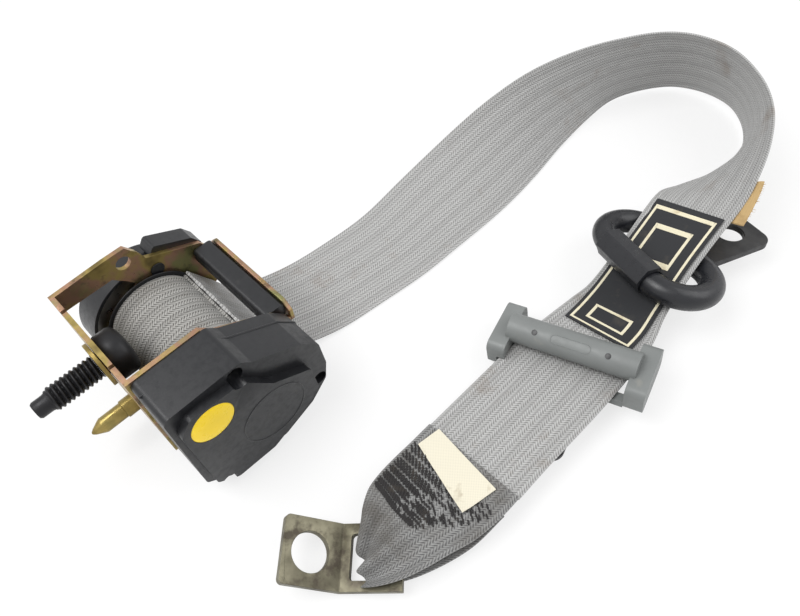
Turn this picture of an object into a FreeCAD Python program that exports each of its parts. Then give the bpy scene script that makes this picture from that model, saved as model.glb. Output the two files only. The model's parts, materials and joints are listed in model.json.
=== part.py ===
"""Three-point seat belt: inertia reel in a steel frame, webbing, pillar loop, latch tongue and floor anchor.

Millimetres. The origin is on the mounting bolt's axis at the back plate's rear face. +X runs from the back
plate towards the webbing's exit, +Y along the spool towards the spring case, +Z up from the floor.
"""
import FreeCAD
import Part
import Sketcher
import math
import os

V = FreeCAD.Vector
os.makedirs("parts", exist_ok=True)
doc = FreeCAD.newDocument("SeatBelt")

# ---------------------------------------------------------------- driving dimensions
SIZES = {
    "floor_drop": 50, "piece_gap": 0.3, "run_gap": 0.05,
    # steel frame
    "frame_half": 27.2, "sheet_thick": 2, "back_top": 16, "back_drop": 38, "flange_reach": 66, "ear_x": 29.5,
    "ear_z": 10.5, "ear_radius": 6.5, "ear_hole": 3.2, "arm_depth": 9.5, "near_top": 31,
    "notch_wide": 1.6, "notch_deep": 2.2, "notch_y": 16,
    # spool, shaft and bushes
    "seat_gap": 0.02, "spool_x": 30, "spool_drop": 24, "roll_radius": 21.5, "core_radius": 9, "disc_radius": 21.9,
    "disc_thick": 0.7, "shaft_radius": 5, "bush_radius": 8, "collar_radius": 9.5, "collar_thick": 0.8,
    # mounting bolt and locating pin
    "bolt_radius": 5, "undercut_radius": 4.5, "bolt_reach": 28, "point_radius": 3.6, "point_reach": 6, "head_radius": 10,
    "head_height": 9.5, "washer_radius": 9.5, "washer_thick": 1.6, "bolt_gap": 0.5, "pin_radius": 3,
    "pin_reach": 20, "collar_pin": 4, "pin_drop": 32,
    # front tie and webbing guide
    "tie_drop": 6, "tie_height": 15, "guide_deep": 9.5, "guide_height": 8,
    # mechanism side
    "cover_wall": 1.8, "cover_deep": 20.8, "dome_rise": 3.6, "ratchet_radius": 17, "ratchet_root": 14,
    "ratchet_teeth": 12, "ratchet_thick": 2.5, "pawl_x": 52, "pawl_drop": 8, "pawl_pin": 2.2,
    "lock_outer": 19.6, "lock_inner": 12, "lock_thick": 1.6, "clutch_radius": 10.5, "clutch_thick": 1.5,
    "ball_radius": 4, "ball_x": 44, "seat_radius": 3, "seat_drop": 35, "lever_gap": 0.9,
    "mark_radius": 8.8, "mark_x": 14.5, "mark_z": 1.5, "mark_thick": 0.4,
    "screw_radius": 1.6, "screw_head": 3, "screw_length": 10,
    # spring side
    "case_radius": 26, "case_deep": 13, "case_wall": 1.5, "arbor_radius": 6, "spring_thick": 0.5,
    "spring_pitch": 2.2, "spring_turns": 5, "spring_wide": 7, "plug_radius": 2.7,
    # webbing
    "web_width": 47, "web_thick": 1.2, "end_thick": 3.2, "patch_thick": 0.5, "label_thick": 0.3,
    # pillar loop
    "loop_bar": 5.5, "loop_straight": 26, "loop_web": 35, "loop_half": 13, "loop_lift": 8.4, "sleeve_length": 29,
    "sleeve_radius": 7.2, "sleeve_lift": 1.6, "tab_wide": 27, "tab_long": 34, "tab_thick": 3, "tab_hole": 6,
    # latch tongue
    "slot_width": 51, "grip_radius": 6.2, "grip_lift": 7.4, "wing_long": 26, "wing_wide": 8,
    "wing_top": 8, "wing_low": 6, "rail_wide": 4, "rail_gap": 1.6, "rail_thick": 4, "rail_x": 10.5,
    "blade_wide": 24, "blade_long": 36, "blade_thick": 2.4, "latch_wide": 12, "latch_long": 9,
    # floor anchor
    "anchor_wide": 25, "anchor_thick": 3, "anchor_bar": 5, "anchor_window": 15, "anchor_side": 4,
    "anchor_hole": 7.5, "anchor_leaf": 24, "anchor_bend": 40, "eye_inner": 3.4, "eye_thick": 1.6,
}
dims = doc.addObject("Spreadsheet::Sheet", "dims")
for row, (name, number) in enumerate(SIZES.items(), start=1):
    dims.set("A%d" % row, name)
    dims.set("B%d" % row, str(number))
    dims.setAlias("B%d" % row, name)
doc.recompute()
d = {name: float(getattr(dims, name)) for name in SIZES}
FLOOR = -d["floor_drop"]
SPOOL = V(d["spool_x"], 0, -d["spool_drop"])


# ---------------------------------------------------------------- ways of making a piece
def bind(piece, **expressions):
    """Ties properties of a piece to expressions in the sheet's aliases."""
    for prop, text in expressions.items():
        piece.setExpression(prop.replace("__", "."), text)
    return piece


def body(label):
    """An empty PartDesign body."""
    made = doc.addObject("PartDesign::Body", label)
    made.Label = label
    return made


def sketch_on(owner, role, depth="0"):
    """A sketch on one origin plane of a body, moved along that plane's normal by an expression."""
    sketch = owner.newObject("Sketcher::SketchObject", owner.Name + "_sketch")
    plane = [p for p in owner.Origin.OriginFeatures if p.Role == role][0]
    sketch.AttachmentSupport = [(plane, "")]
    sketch.MapMode = "FlatFace"
    sketch.setExpression("AttachmentOffset.Base.z", depth)
    return sketch


def add_outline(sketch, corners):
    """Closed outline whose corners are pairs of expressions, each held by two bound dimensions."""
    first = sketch.GeometryCount
    count = len(corners)
    numbers = [(number(a), number(b)) for a, b in corners]
    for i in range(count):
        a, b = numbers[i], numbers[(i + 1) % count]
        sketch.addGeometry(Part.LineSegment(V(a[0], a[1], 0), V(b[0], b[1], 0)), False)
    for i in range(count):
        sketch.addConstraint(Sketcher.Constraint("Coincident", first + i, 2, first + (i + 1) % count, 1))
    for i, (across, up) in enumerate(corners):
        for kind, text, worth in (("DistanceX", across, numbers[i][0]), ("DistanceY", up, numbers[i][1])):
            index = sketch.addConstraint(Sketcher.Constraint(kind, -1, 1, first + i, 1, worth))
            sketch.setExpression("Constraints[%d]" % index, text)


def add_circle(sketch, across, up, radius):
    """Circle in a sketch, its centre and radius bound."""
    index = sketch.addGeometry(Part.Circle(V(number(across), number(up), 0), V(0, 0, 1), number(radius)), False)
    for kind, text in (("DistanceX", across), ("DistanceY", up)):
        bound = sketch.addConstraint(Sketcher.Constraint(kind, -1, 1, index, 3, number(text)))
        sketch.setExpression("Constraints[%d]" % bound, text)
    bound = sketch.addConstraint(Sketcher.Constraint("Radius", index, number(radius)))
    sketch.setExpression("Constraints[%d]" % bound, radius)


def number(text):
    """What an expression in the sheet's aliases comes to, worked out by the sheet."""
    dims.set("D1", "=" + text.replace("dims.", ""))
    dims.recompute()
    return float(dims.get("D1"))


def pad(owner, sketch, length, name="pad"):
    """Pads a sketch along its plane's normal."""
    made = owner.newObject("PartDesign::Pad", owner.Name + "_" + name)
    made.Profile = sketch
    made.setExpression("Length", length)
    sketch.Visibility = False
    return made


def pocket(owner, sketch, length, name="pocket"):
    """Cuts a sketch both ways through the body."""
    made = owner.newObject("PartDesign::Pocket", owner.Name + "_" + name)
    made.Profile = sketch
    made.Midplane = True
    made.setExpression("Length", length)
    return made


def cylinder(label, radius, height, base, axis=V(0, 0, 1)):
    """Part::Cylinder with bound radius and height, its foot at a point and its axis along a vector."""
    made = doc.addObject("Part::Cylinder", label)
    made.Label = label
    bind(made, Radius=radius, Height=height)
    made.Placement = FreeCAD.Placement(base, FreeCAD.Rotation(V(0, 0, 1), axis))
    return made


def cut(label, base, *tools):
    """Part::Cut of one piece by one or more others."""
    made = doc.addObject("Part::Cut", label)
    made.Label = label
    made.Base = base
    made.Tool = tools[0] if len(tools) == 1 else fuse(label + "_tools", *tools)
    return made


def fuse(label, *pieces):
    """Part::MultiFuse of several pieces."""
    made = doc.addObject("Part::MultiFuse", label)
    made.Label = label
    made.Shapes = list(pieces)
    return made


def feature(label, shape, placement=None):
    """A Part::Feature with a shape of its own, and then its place."""
    made = doc.addObject("Part::Feature", label)
    made.Label = label
    made.Shape = shape
    made.Placement = (placement or FreeCAD.Placement()).multiply(shape.Placement)
    return made


def disc(radius, y_low, y_high, hole=0.0, centre=SPOOL):
    """Disc or ring about the spool's direction, between two places along it."""
    made = Part.makeCylinder(radius, y_high - y_low, V(centre.x, y_low, centre.z), V(0, 1, 0))
    if hole:
        made = made.cut(Part.makeCylinder(hole, y_high - y_low, V(centre.x, y_low, centre.z), V(0, 1, 0)))
    return made


def slab(low, high):
    """Box between two corners."""
    return Part.makeBox(high[0] - low[0], high[1] - low[1], high[2] - low[2], V(*low))


def upright(corners, y_low, y_high, corner_radius=0.0):
    """Plate with an outline in X and Z, between two places along Y, its outline's corners rounded."""
    points = [V(x, y_low, z) for x, z in corners]
    made = Part.Face(Part.makePolygon(points + points[:1])).extrude(V(0, y_high - y_low, 0))
    if corner_radius:
        along = [e for e in made.Edges if abs(abs(e.tangentAt(e.FirstParameter).y) - 1) < 1e-6]
        made = made.makeFillet(corner_radius, along)
    return made


def across_strip(heading, lean):
    """Unit vector across a strip, from its lower edge to its upper one."""
    turn, tip = math.radians(heading), math.radians(lean)
    return V(math.cos(turn) * math.cos(tip), math.sin(turn) * math.cos(tip), math.sin(tip))


def ribbon(stations, thick, lift=0.0, shift=0.0, steps=4):
    """Closed solid of a flat strip: each station is its centre, heading, lean and width. The strip may lie
    off the stations' middle surface by a lift, or past their centres by a shift towards the upper edge."""
    thicks = thick if isinstance(thick, list) else [thick] * len(stations)
    rows = [(V(x, y, FLOOR + up), across_strip(heading, lean), wide, deep)
            for (x, y, up, heading, lean, wide), deep in zip(stations, thicks)]
    cuts = [rows[0]]
    for (c0, a0, w0, t0), (c1, a1, w1, t1) in zip(rows, rows[1:]):
        for k in range(1, steps + 1):
            part = k / steps
            across = a0 * (1 - part) + a1 * part
            across.normalize()
            cuts.append((c0 * (1 - part) + c1 * part, across, w0 + (w1 - w0) * part, t0 + (t1 - t0) * part))
    rings = []
    for i, (centre, across, wide, deep) in enumerate(cuts):
        run = cuts[min(i + 1, len(cuts) - 1)][0] - cuts[max(i - 1, 0)][0]
        normal = run.cross(across)
        normal.normalize()
        half, rise = across * (wide / 2), normal * (deep / 2)
        c = centre + normal * lift + across * shift
        rings.append([c - half - rise, c + half - rise, c + half + rise, c - half + rise])
    return ring_solid(rings)


def ring_solid(rings):
    """Solid ruled straight from each four-cornered ring to the next and closed at both ends."""
    return Part.makeLoft([Part.makePolygon(ring + ring[:1]) for ring in rings], True, True)


def stand(x, y, up, *turns):
    """Placement at a height above the floor, turned by (axis, degrees) pairs from the outermost in."""
    rotation = FreeCAD.Rotation()
    for axis, degrees in turns:
        rotation = rotation.multiply(FreeCAD.Rotation(axis, degrees))
    return FreeCAD.Placement(V(x, y, FLOOR + up), rotation)

HALF = d["frame_half"]
INNER = HALF - d["sheet_thick"]
GAP = d["piece_gap"]
RUN = d["run_gap"]

# ---------------------------------------------------------------- steel frame
frame = body("retractor_frame")
back = sketch_on(frame, "YZ_Plane")
add_outline(back, [
    ("-dims.frame_half", "-dims.back_drop"), ("dims.frame_half", "-dims.back_drop"),
    ("dims.frame_half", "dims.back_top"),
    ("dims.notch_y + dims.notch_wide", "dims.back_top"),
    ("dims.notch_y + dims.notch_wide", "dims.back_top - dims.notch_deep"),
    ("dims.notch_y", "dims.back_top - dims.notch_deep"), ("dims.notch_y", "dims.back_top"),
    ("-dims.notch_y", "dims.back_top"), ("-dims.notch_y", "dims.back_top - dims.notch_deep"),
    ("-dims.notch_y - dims.notch_wide", "dims.back_top - dims.notch_deep"),
    ("-dims.notch_y - dims.notch_wide", "dims.back_top"), ("-dims.frame_half", "dims.back_top")])
add_circle(back, "0", "0", "dims.bolt_radius + dims.bolt_gap")
add_circle(back, "0", "-dims.pin_drop", "dims.pin_radius")
pad(frame, back, "dims.sheet_thick", "back")

near = sketch_on(frame, "XZ_Plane", "dims.frame_half - dims.sheet_thick")
add_outline(near, [
    ("0", "-dims.back_drop"), ("44", "-dims.back_drop"), ("dims.flange_reach - 6", "-dims.back_drop + 6"),
    ("dims.flange_reach", "-28"), ("dims.flange_reach", "-14"), ("dims.flange_reach - 7", "-5"),
    ("dims.near_top + 5", "dims.back_top - 6"), ("dims.near_top", "dims.back_top"), ("0", "dims.back_top")])
add_circle(near, "dims.spool_x", "-dims.spool_drop", "dims.bush_radius")
add_circle(near, "dims.pawl_x", "-dims.pawl_drop", "dims.pawl_pin")
pad(frame, near, "dims.sheet_thick", "near_flange")

far = sketch_on(frame, "XZ_Plane", "-dims.frame_half")
add_outline(far, [
    ("0", "-dims.back_drop"), ("44", "-dims.back_drop"), ("dims.flange_reach - 6", "-dims.back_drop + 6"),
    ("dims.flange_reach", "-28"), ("dims.flange_reach", "-14"), ("dims.flange_reach - 5", "-5"),
    ("dims.ear_x + dims.ear_radius + 2", "dims.ear_z - dims.ear_radius + 2"),
    ("dims.ear_x + dims.ear_radius", "dims.ear_z + 1"), ("dims.ear_x + 3", "dims.ear_z + dims.ear_radius"),
    ("dims.ear_x - dims.ear_radius", "dims.ear_z + dims.ear_radius"), ("0", "dims.back_top")])
add_outline(far, [
    ("dims.sheet_thick", "-22"), ("8.5", "-22"), ("dims.ear_x + 1", "-4"), ("dims.ear_x - 2", "0.5"),
    ("dims.ear_x - 7", "dims.ear_z + dims.ear_radius - dims.arm_depth - 1"),
    ("dims.sheet_thick", "dims.back_top - dims.arm_depth")])
add_circle(far, "dims.ear_x", "dims.ear_z", "dims.ear_hole")
add_circle(far, "dims.spool_x", "-dims.spool_drop", "dims.bush_radius")
add_circle(far, "40", "-3", "dims.plug_radius")
pad(frame, far, "dims.sheet_thick", "far_flange")

tie = body("front_tie_plate")
tie_sketch = sketch_on(tie, "YZ_Plane", "dims.flange_reach")
add_outline(tie_sketch, [
    ("-dims.frame_half + 4", "-dims.tie_drop - dims.tie_height"),
    ("dims.frame_half - 4", "-dims.tie_drop - dims.tie_height"),
    ("dims.frame_half", "-dims.tie_drop - dims.tie_height + 5"),
    ("dims.frame_half", "-dims.tie_drop - 4"), ("dims.frame_half - 4", "-dims.tie_drop"),
    ("-dims.frame_half + 4", "-dims.tie_drop"), ("-dims.frame_half", "-dims.tie_drop - 4"),
    ("-dims.frame_half", "-dims.tie_drop - dims.tie_height + 5")])
pad(tie, tie_sketch, "dims.sheet_thick")

guide = doc.addObject("Part::Box", "guide_bar")
bind(guide, Length="dims.guide_deep", Width="2 * (dims.frame_half - dims.sheet_thick - dims.piece_gap)",
     Height="dims.guide_height")
guide.Placement.Base = V(d["flange_reach"] - GAP - d["guide_deep"], -(INNER - GAP), -d["tie_drop"] - d["guide_height"])
rounded = doc.addObject("Part::Fillet", "webbing_guide")
rounded.Label = "webbing_guide"
rounded.Base = guide
doc.recompute()
rounded.Edges = [(i + 1, 2.0, 2.0) for i, e in enumerate(guide.Shape.Edges)
                 if abs(abs(e.tangentAt(e.FirstParameter).y) - 1) < 1e-6]

# ---------------------------------------------------------------- mounting bolt and locating pin
shank = cylinder("bolt_shank", "dims.bolt_radius",
                 "dims.bolt_reach - dims.point_reach - dims.washer_thick - 2 * dims.piece_gap",
                 V(-d["washer_thick"] - 2 * GAP, 0, 0), V(-1, 0, 0))
under = cylinder("bolt_undercut", "dims.undercut_radius",
                 "dims.sheet_thick + dims.washer_thick + 3 * dims.piece_gap",
                 V(d["sheet_thick"] + GAP, 0, 0), V(-1, 0, 0))
point = cylinder("bolt_point", "dims.point_radius", "dims.point_reach",
                 V(d["point_reach"] - d["bolt_reach"], 0, 0), V(-1, 0, 0))
head = cylinder("bolt_head", "dims.head_radius", "dims.head_height", V(d["sheet_thick"] + GAP, 0, 0), V(1, 0, 0))
bolt = fuse("bolt_blank", shank, point, under, head)
bolt_round = doc.addObject("Part::Fillet", "mounting_bolt")
bolt_round.Label = "mounting_bolt"
bolt_round.Base = bolt
doc.recompute()
bolt_round.Edges = [(i + 1, 2.5, 2.5) for i, e in enumerate(bolt.Shape.Edges)
                    if e.BoundBox.XMin > d["sheet_thick"] + d["head_height"] and e.BoundBox.YLength > 15]
washer_disc = cylinder("washer_disc", "dims.washer_radius", "dims.washer_thick", V(-GAP, 0, 0), V(-1, 0, 0))
washer_bore = cylinder("washer_bore", "dims.bolt_radius + dims.run_gap", "dims.washer_thick", V(-GAP, 0, 0),
                       V(-1, 0, 0))
cut("bolt_washer", washer_disc, washer_bore)

pin_shank = cylinder("pin_shank", "dims.pin_radius", "dims.pin_reach - 5 + dims.sheet_thick",
                     V(d["sheet_thick"], 0, -d["pin_drop"]), V(-1, 0, 0))
pin_point = doc.addObject("Part::Cone", "pin_point")
bind(pin_point, Radius1="dims.pin_radius", Radius2="0.8", Height="5")
pin_point.Placement = FreeCAD.Placement(V(5 - d["pin_reach"], 0, -d["pin_drop"]), FreeCAD.Rotation(V(0, 0, 1), V(-1, 0, 0)))
pin_collar = cylinder("pin_collar", "dims.collar_pin", "1.5", V(0, 0, -d["pin_drop"]), V(-1, 0, 0))
fuse("locating_pin", pin_shank, pin_point, pin_collar)

# ---------------------------------------------------------------- spool
ROLL_HALF = d["web_width"] / 2
BORE = d["shaft_radius"] + d["seat_gap"]
SEAT = d["seat_gap"]
core = disc(d["core_radius"], -INNER + d["collar_thick"] + GAP, INNER - d["collar_thick"] - GAP,
            BORE)
rims = [disc(d["disc_radius"], y, y + d["disc_thick"], BORE)
        for y in (ROLL_HALF, -ROLL_HALF - d["disc_thick"])]
feature("spool", core.multiFuse(rims).removeSplitter())
feature("webbing_roll", disc(d["roll_radius"], -ROLL_HALF, ROLL_HALF, d["core_radius"] + SEAT))
RATCHET_Y = -HALF - d["collar_thick"] - 0.4 - d["ratchet_thick"]
LOCK_Y = RATCHET_Y - 0.5 - d["lock_thick"]
CLUTCH_Y = LOCK_Y - 0.5 - d["clutch_thick"]
ARBOR_END = HALF + d["case_deep"] - d["case_wall"] - 0.5
shaft_body = doc.addObject("PartDesign::Body", "torsion_shaft")
shaft_body.Label = "torsion_shaft"
shaft_sketch = sketch_on(shaft_body, "XZ_Plane", str(-ARBOR_END))
add_circle(shaft_sketch, "dims.spool_x", "-dims.spool_drop", "dims.shaft_radius")
pad(shaft_body, shaft_sketch, str(ARBOR_END - CLUTCH_Y))
for label, side in (("near_bush", -1), ("far_bush", 1)):
    sleeve = disc(d["bush_radius"] - SEAT, *sorted((side * INNER, side * HALF)), hole=d["shaft_radius"] + RUN)
    lips = [disc(d["collar_radius"], *sorted((side * at, side * (at + d["collar_thick"]))),
                 hole=d["shaft_radius"] + RUN) for at in (HALF, INNER - d["collar_thick"])]
    feature(label, sleeve.multiFuse(lips).removeSplitter())

# ---------------------------------------------------------------- lock mechanism
teeth = int(d["ratchet_teeth"])
wheel = []
for k in range(teeth):
    start = math.radians(360 * (k - 0.5) / teeth + 80)
    step = math.radians(360 / teeth)
    for radius, share in ((d["ratchet_root"], 0.15), (d["ratchet_root"], 0.72), (d["ratchet_radius"], 0.85)):
        angle = start + step * share
        wheel.append((SPOOL.x + radius * math.cos(angle), SPOOL.z + radius * math.sin(angle)))
feature("ratchet_wheel", upright(wheel, RATCHET_Y, RATCHET_Y + d["ratchet_thick"]).cut(
    disc(BORE, RATCHET_Y - 1, RATCHET_Y + 5)))

PAWL = V(d["pawl_x"], 0, -d["pawl_drop"])
TIP = SPOOL + V(math.cos(math.radians(80)), 0, math.sin(math.radians(80))) * (d["ratchet_radius"] + 1.6)
arm = [(PAWL.x + 3, PAWL.z + 4.5), (PAWL.x - 6, PAWL.z + 5.5), (TIP.x - 1.2, TIP.z + 4.5), (TIP.x - 1.5, TIP.z),
       (TIP.x + 1.5, TIP.z), (TIP.x + 4, TIP.z + 2.6), (PAWL.x - 5, PAWL.z - 2), (PAWL.x + 1, PAWL.z - 4.2),
       (PAWL.x + 4.5, PAWL.z)]
pawl = upright(arm, RATCHET_Y, RATCHET_Y + d["ratchet_thick"]).cut(
    disc(d["pawl_pin"] + RUN, RATCHET_Y - 1, RATCHET_Y + 5, centre=PAWL))
PEG = V(PAWL.x - 8, 0, PAWL.z + 2.2)
peg = disc(1.2, LOCK_Y - 0.6, RATCHET_Y, centre=PEG)
feature("locking_pawl", pawl.fuse(peg).removeSplitter())
feature("pawl_pin", disc(d["pawl_pin"], RATCHET_Y - 0.3, -HALF, centre=PAWL).fuse(
    disc(d["pawl_pin"] - SEAT, -HALF, -INNER, centre=PAWL)).removeSplitter())
feature("clutch_disc", disc(d["clutch_radius"], CLUTCH_Y, CLUTCH_Y + d["clutch_thick"], BORE))
BALL_UP = math.sqrt(d["ball_radius"] ** 2 - d["seat_radius"] ** 2) + 0.15
BALL = V(d["ball_x"], CLUTCH_Y - 5.6, -d["seat_drop"] + BALL_UP)

ring = disc(d["lock_outer"], LOCK_Y, LOCK_Y + d["lock_thick"], d["lock_inner"])
lug = upright([(PEG.x - 9, PEG.z - 6), (PEG.x - 8, PEG.z + 6), (PEG.x + 4.5, PEG.z + 6), (PEG.x + 5, PEG.z - 5)],
              LOCK_Y, LOCK_Y + d["lock_thick"], 1.5)
slot = disc(1.2 + 3, LOCK_Y - 1, LOCK_Y + 4, centre=PEG + V(-0.5, 0, -1))
feature("lock_ring", ring.fuse(lug).cut(slot).cut(disc(d["lock_inner"], LOCK_Y - 1, LOCK_Y + 4)).removeSplitter())

COVER_IN = -HALF
COVER_FACE = COVER_IN - d["cover_deep"]
CAVITY_END = COVER_FACE + d["cover_wall"]
cup = slab((BALL.x - 7, BALL.y - 5.2, -d["seat_drop"] - 4), (BALL.x + 7, BALL.y + 5.2, -d["seat_drop"]))
cup = cup.cut(Part.makeCylinder(d["seat_radius"], 3.2, V(BALL.x, BALL.y, -d["seat_drop"] - 3.2)))
post_x = BALL.x - 7
cheeks = [slab((post_x - 2, BALL.y + y, -d["seat_drop"] - 4), (post_x + 2, BALL.y + y + 1.4, BALL.z + 9))
          for y in (-5.2, 3.8)]
bridge = slab((BALL.x - 7, CAVITY_END, -d["seat_drop"] - 4), (BALL.x + 7, BALL.y - 5.2, -d["seat_drop"] - 1))
LEVER = V(post_x, BALL.y, BALL.z + d["ball_radius"] + d["lever_gap"] + 1.6)
pivot_holes = Part.makeCylinder(1 + RUN, 12, V(LEVER.x, BALL.y - 6, LEVER.z), V(0, 1, 0))
feature("sensor_cup", cup.multiFuse(cheeks + [bridge]).cut(pivot_holes).removeSplitter())
feature("sensor_ball", Part.makeSphere(d["ball_radius"], BALL))
lever = Part.makeCylinder(1, 10.4, V(LEVER.x, BALL.y - 5.2, LEVER.z), V(0, 1, 0))
lever = lever.multiFuse([
    slab((LEVER.x - 1.6, BALL.y - 3.4, LEVER.z - 1.6), (LEVER.x + 1.6, BALL.y + 3.4, LEVER.z + 1.6)),
    slab((LEVER.x, BALL.y - 2.5, LEVER.z - 1.2), (LEVER.x + 11, BALL.y + 2.5, LEVER.z)),
    slab((LEVER.x + 9.6, BALL.y - 1, LEVER.z - 1.2), (LEVER.x + 11, BALL.y + 1, LEVER.z + 2.2))])
feature("sensor_lever", lever.removeSplitter())

# mechanism cover: a deep lid on the near flange
RIM = [(1, -d["back_drop"] + 1), (1, d["back_top"] - 0.5), (33, d["back_top"] - 0.5), (37, 11), (57, -1),
       (64, -9), (65, -24), (63, -34), (54, -43), (38, FLOOR), (20, FLOOR), (10, -46)]
lid = upright(RIM, COVER_FACE, COVER_IN, 3)
inset = d["cover_wall"]
middle = V(sum(x for x, z in RIM) / len(RIM), 0, sum(z for x, z in RIM) / len(RIM))
hollow = [(middle.x + (x - middle.x) * (1 - inset / 26), middle.z + (z - middle.z) * (1 - inset / 26))
          for x, z in RIM]
cavity = upright(hollow, CAVITY_END, COVER_IN + 1, 1.5)
DOME = [(4, -36), (3, 6), (8, 12), (30, 10), (40, -4), (56, -14), (57, -30), (46, -38), (30, -45), (12, -44)]
dome = upright(DOME, COVER_FACE - d["dome_rise"], COVER_FACE, 3)
SCREWS = [(29.5, 11.2), (60, -31), (8, -41)]
bosses = [disc(d["screw_head"] + 1.2, CAVITY_END, COVER_IN - 0.2, centre=V(x, 0, z - (1 if z > 0 else 0)))
          for x, z in SCREWS]
wells = []
HEAD_Y = COVER_FACE + 6
for x, z in SCREWS:
    at = V(x, 0, z)
    wells.append(disc(d["screw_head"] + 0.4, COVER_FACE - 6, HEAD_Y, centre=at))
    wells.append(disc(d["screw_radius"] + RUN, HEAD_Y - 1, COVER_IN + 1, centre=at))
cover = lid.cut(cavity).fuse(dome).multiFuse([b.common(lid) for b in bosses])
MARK = V(d["mark_x"], COVER_FACE - d["dome_rise"], d["mark_z"])
cover = cover.cut(disc(d["mark_radius"] + 0.1, MARK.y, MARK.y + d["mark_thick"], centre=MARK))
for well in wells:
    cover = cover.cut(well)
feature("mechanism_cover", cover.removeSplitter())
feature("side_mark", disc(d["mark_radius"], MARK.y - 0.1, MARK.y + d["mark_thick"], centre=MARK))
screws = []
for x, z in SCREWS:
    at = V(x, 0, z)
    screw = disc(d["screw_head"], HEAD_Y - 2.2, HEAD_Y, centre=at)
    screw = screw.fuse(disc(d["screw_radius"], HEAD_Y, COVER_IN, centre=at))
    drive = slab((x - 1.7, HEAD_Y - 3, z - 0.35), (x + 1.7, HEAD_Y - 1.2, z + 0.35))
    screws.append(screw.cut(drive).cut(drive.rotated(at, V(0, 1, 0), 90)).removeSplitter())
feature("cover_screws", Part.makeCompound(screws))

# ---------------------------------------------------------------- spring side
CASE_IN = HALF
CASE_END = HALF + d["case_deep"]
case = disc(d["case_radius"], CASE_IN, CASE_END)
block = upright([(40, 3), (43, 7), (59, -1.5), (62.5, -7), (60, -14), (45, -12)], CASE_IN, CASE_IN + 8, 1.5)
ears = [upright([(53, -19), (64.5, -22), (64.5, -31), (51, -34)], CASE_IN, CASE_IN + 6, 1.5),
        upright([(1, -39), (9, -39), (9, -28), (1, -30)], CASE_IN, CASE_IN + 6, 1.5)]
RIVETS = [(56, -6, 8), (60.4, -27, 6), (4, -36, 6)]
case = case.multiFuse([block] + ears)
hollow = disc(d["case_radius"] - d["case_wall"], CASE_IN - 1, CASE_END - d["case_wall"])
boss = disc(4, CASE_END, CASE_END + 1.2)
ribs = [slab((SPOOL.x - 0.6, CASE_END, SPOOL.z - d["case_radius"] + 2),
             (SPOOL.x + 0.6, CASE_END + 0.8, SPOOL.z - 5)).rotated(SPOOL, V(0, 1, 0), 360 * k / 8)
        for k in range(8)]
rivet_wells = [disc(1.6, CASE_IN - 1, CASE_IN + 9, centre=V(x, 0, z)) for x, z, top in RIVETS]
case = case.multiFuse([boss] + ribs).cut(hollow)
for well in rivet_wells:
    case = case.cut(well)
feature("spring_case", case.removeSplitter())
feature("case_rivets", Part.makeCompound([
    disc(1.6 - SEAT, HALF, HALF + top, centre=V(x, 0, z)).fuse(
        disc(2.3, HALF + top, HALF + top + 1.2, centre=V(x, 0, z))).removeSplitter()
    for x, z, top in RIVETS]))
feature("spring_plate", disc(d["case_radius"] - d["case_wall"] - GAP, HALF + 1.2, HALF + 2, d["collar_radius"] + GAP))
SPRING_Y = HALF + 2 + GAP
feature("spring_arbor", disc(d["arbor_radius"], SPRING_Y, ARBOR_END, BORE))


def spiral(radius, pitch, turns, shift):
    """Half-circle arcs about two centres by turns: one edge of the wound spring strip."""
    edges = []
    for k in range(int(2 * turns)):
        sign = 1 if k % 2 == 0 else -1
        mid = SPOOL.x - (0 if k % 2 == 0 else pitch / 2)
        reach = radius + shift + k * pitch / 2
        edges.append(Part.Arc(V(mid - sign * reach, SPRING_Y, SPOOL.z), V(mid, SPRING_Y, SPOOL.z + sign * reach),
                              V(mid + sign * reach, SPRING_Y, SPOOL.z)).toShape())
    return edges


START = d["arbor_radius"] + 1
inner_edge = spiral(START, d["spring_pitch"], d["spring_turns"], 0)
outer_edge = spiral(START, d["spring_pitch"], d["spring_turns"], d["spring_thick"])
ends = [Part.makeLine(inner_edge[at].Vertexes[vertex].Point, outer_edge[at].Vertexes[vertex].Point)
        for at, vertex in ((0, 0), (-1, -1))]
strip = Part.Face(Part.Wire(Part.__sortEdges__(inner_edge + outer_edge + ends)))
feature("return_spring", strip.extrude(V(0, d["spring_wide"], 0)))
feature("flange_plug", disc(d["plug_radius"] - SEAT, INNER, HALF, centre=V(40, 0, -3)).fuse(
    disc(d["plug_radius"] + 0.4, INNER - 0.6, INNER, centre=V(40, 0, -3))).removeSplitter())

# ---------------------------------------------------------------- webbing
WIDE = d["web_width"]
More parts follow.
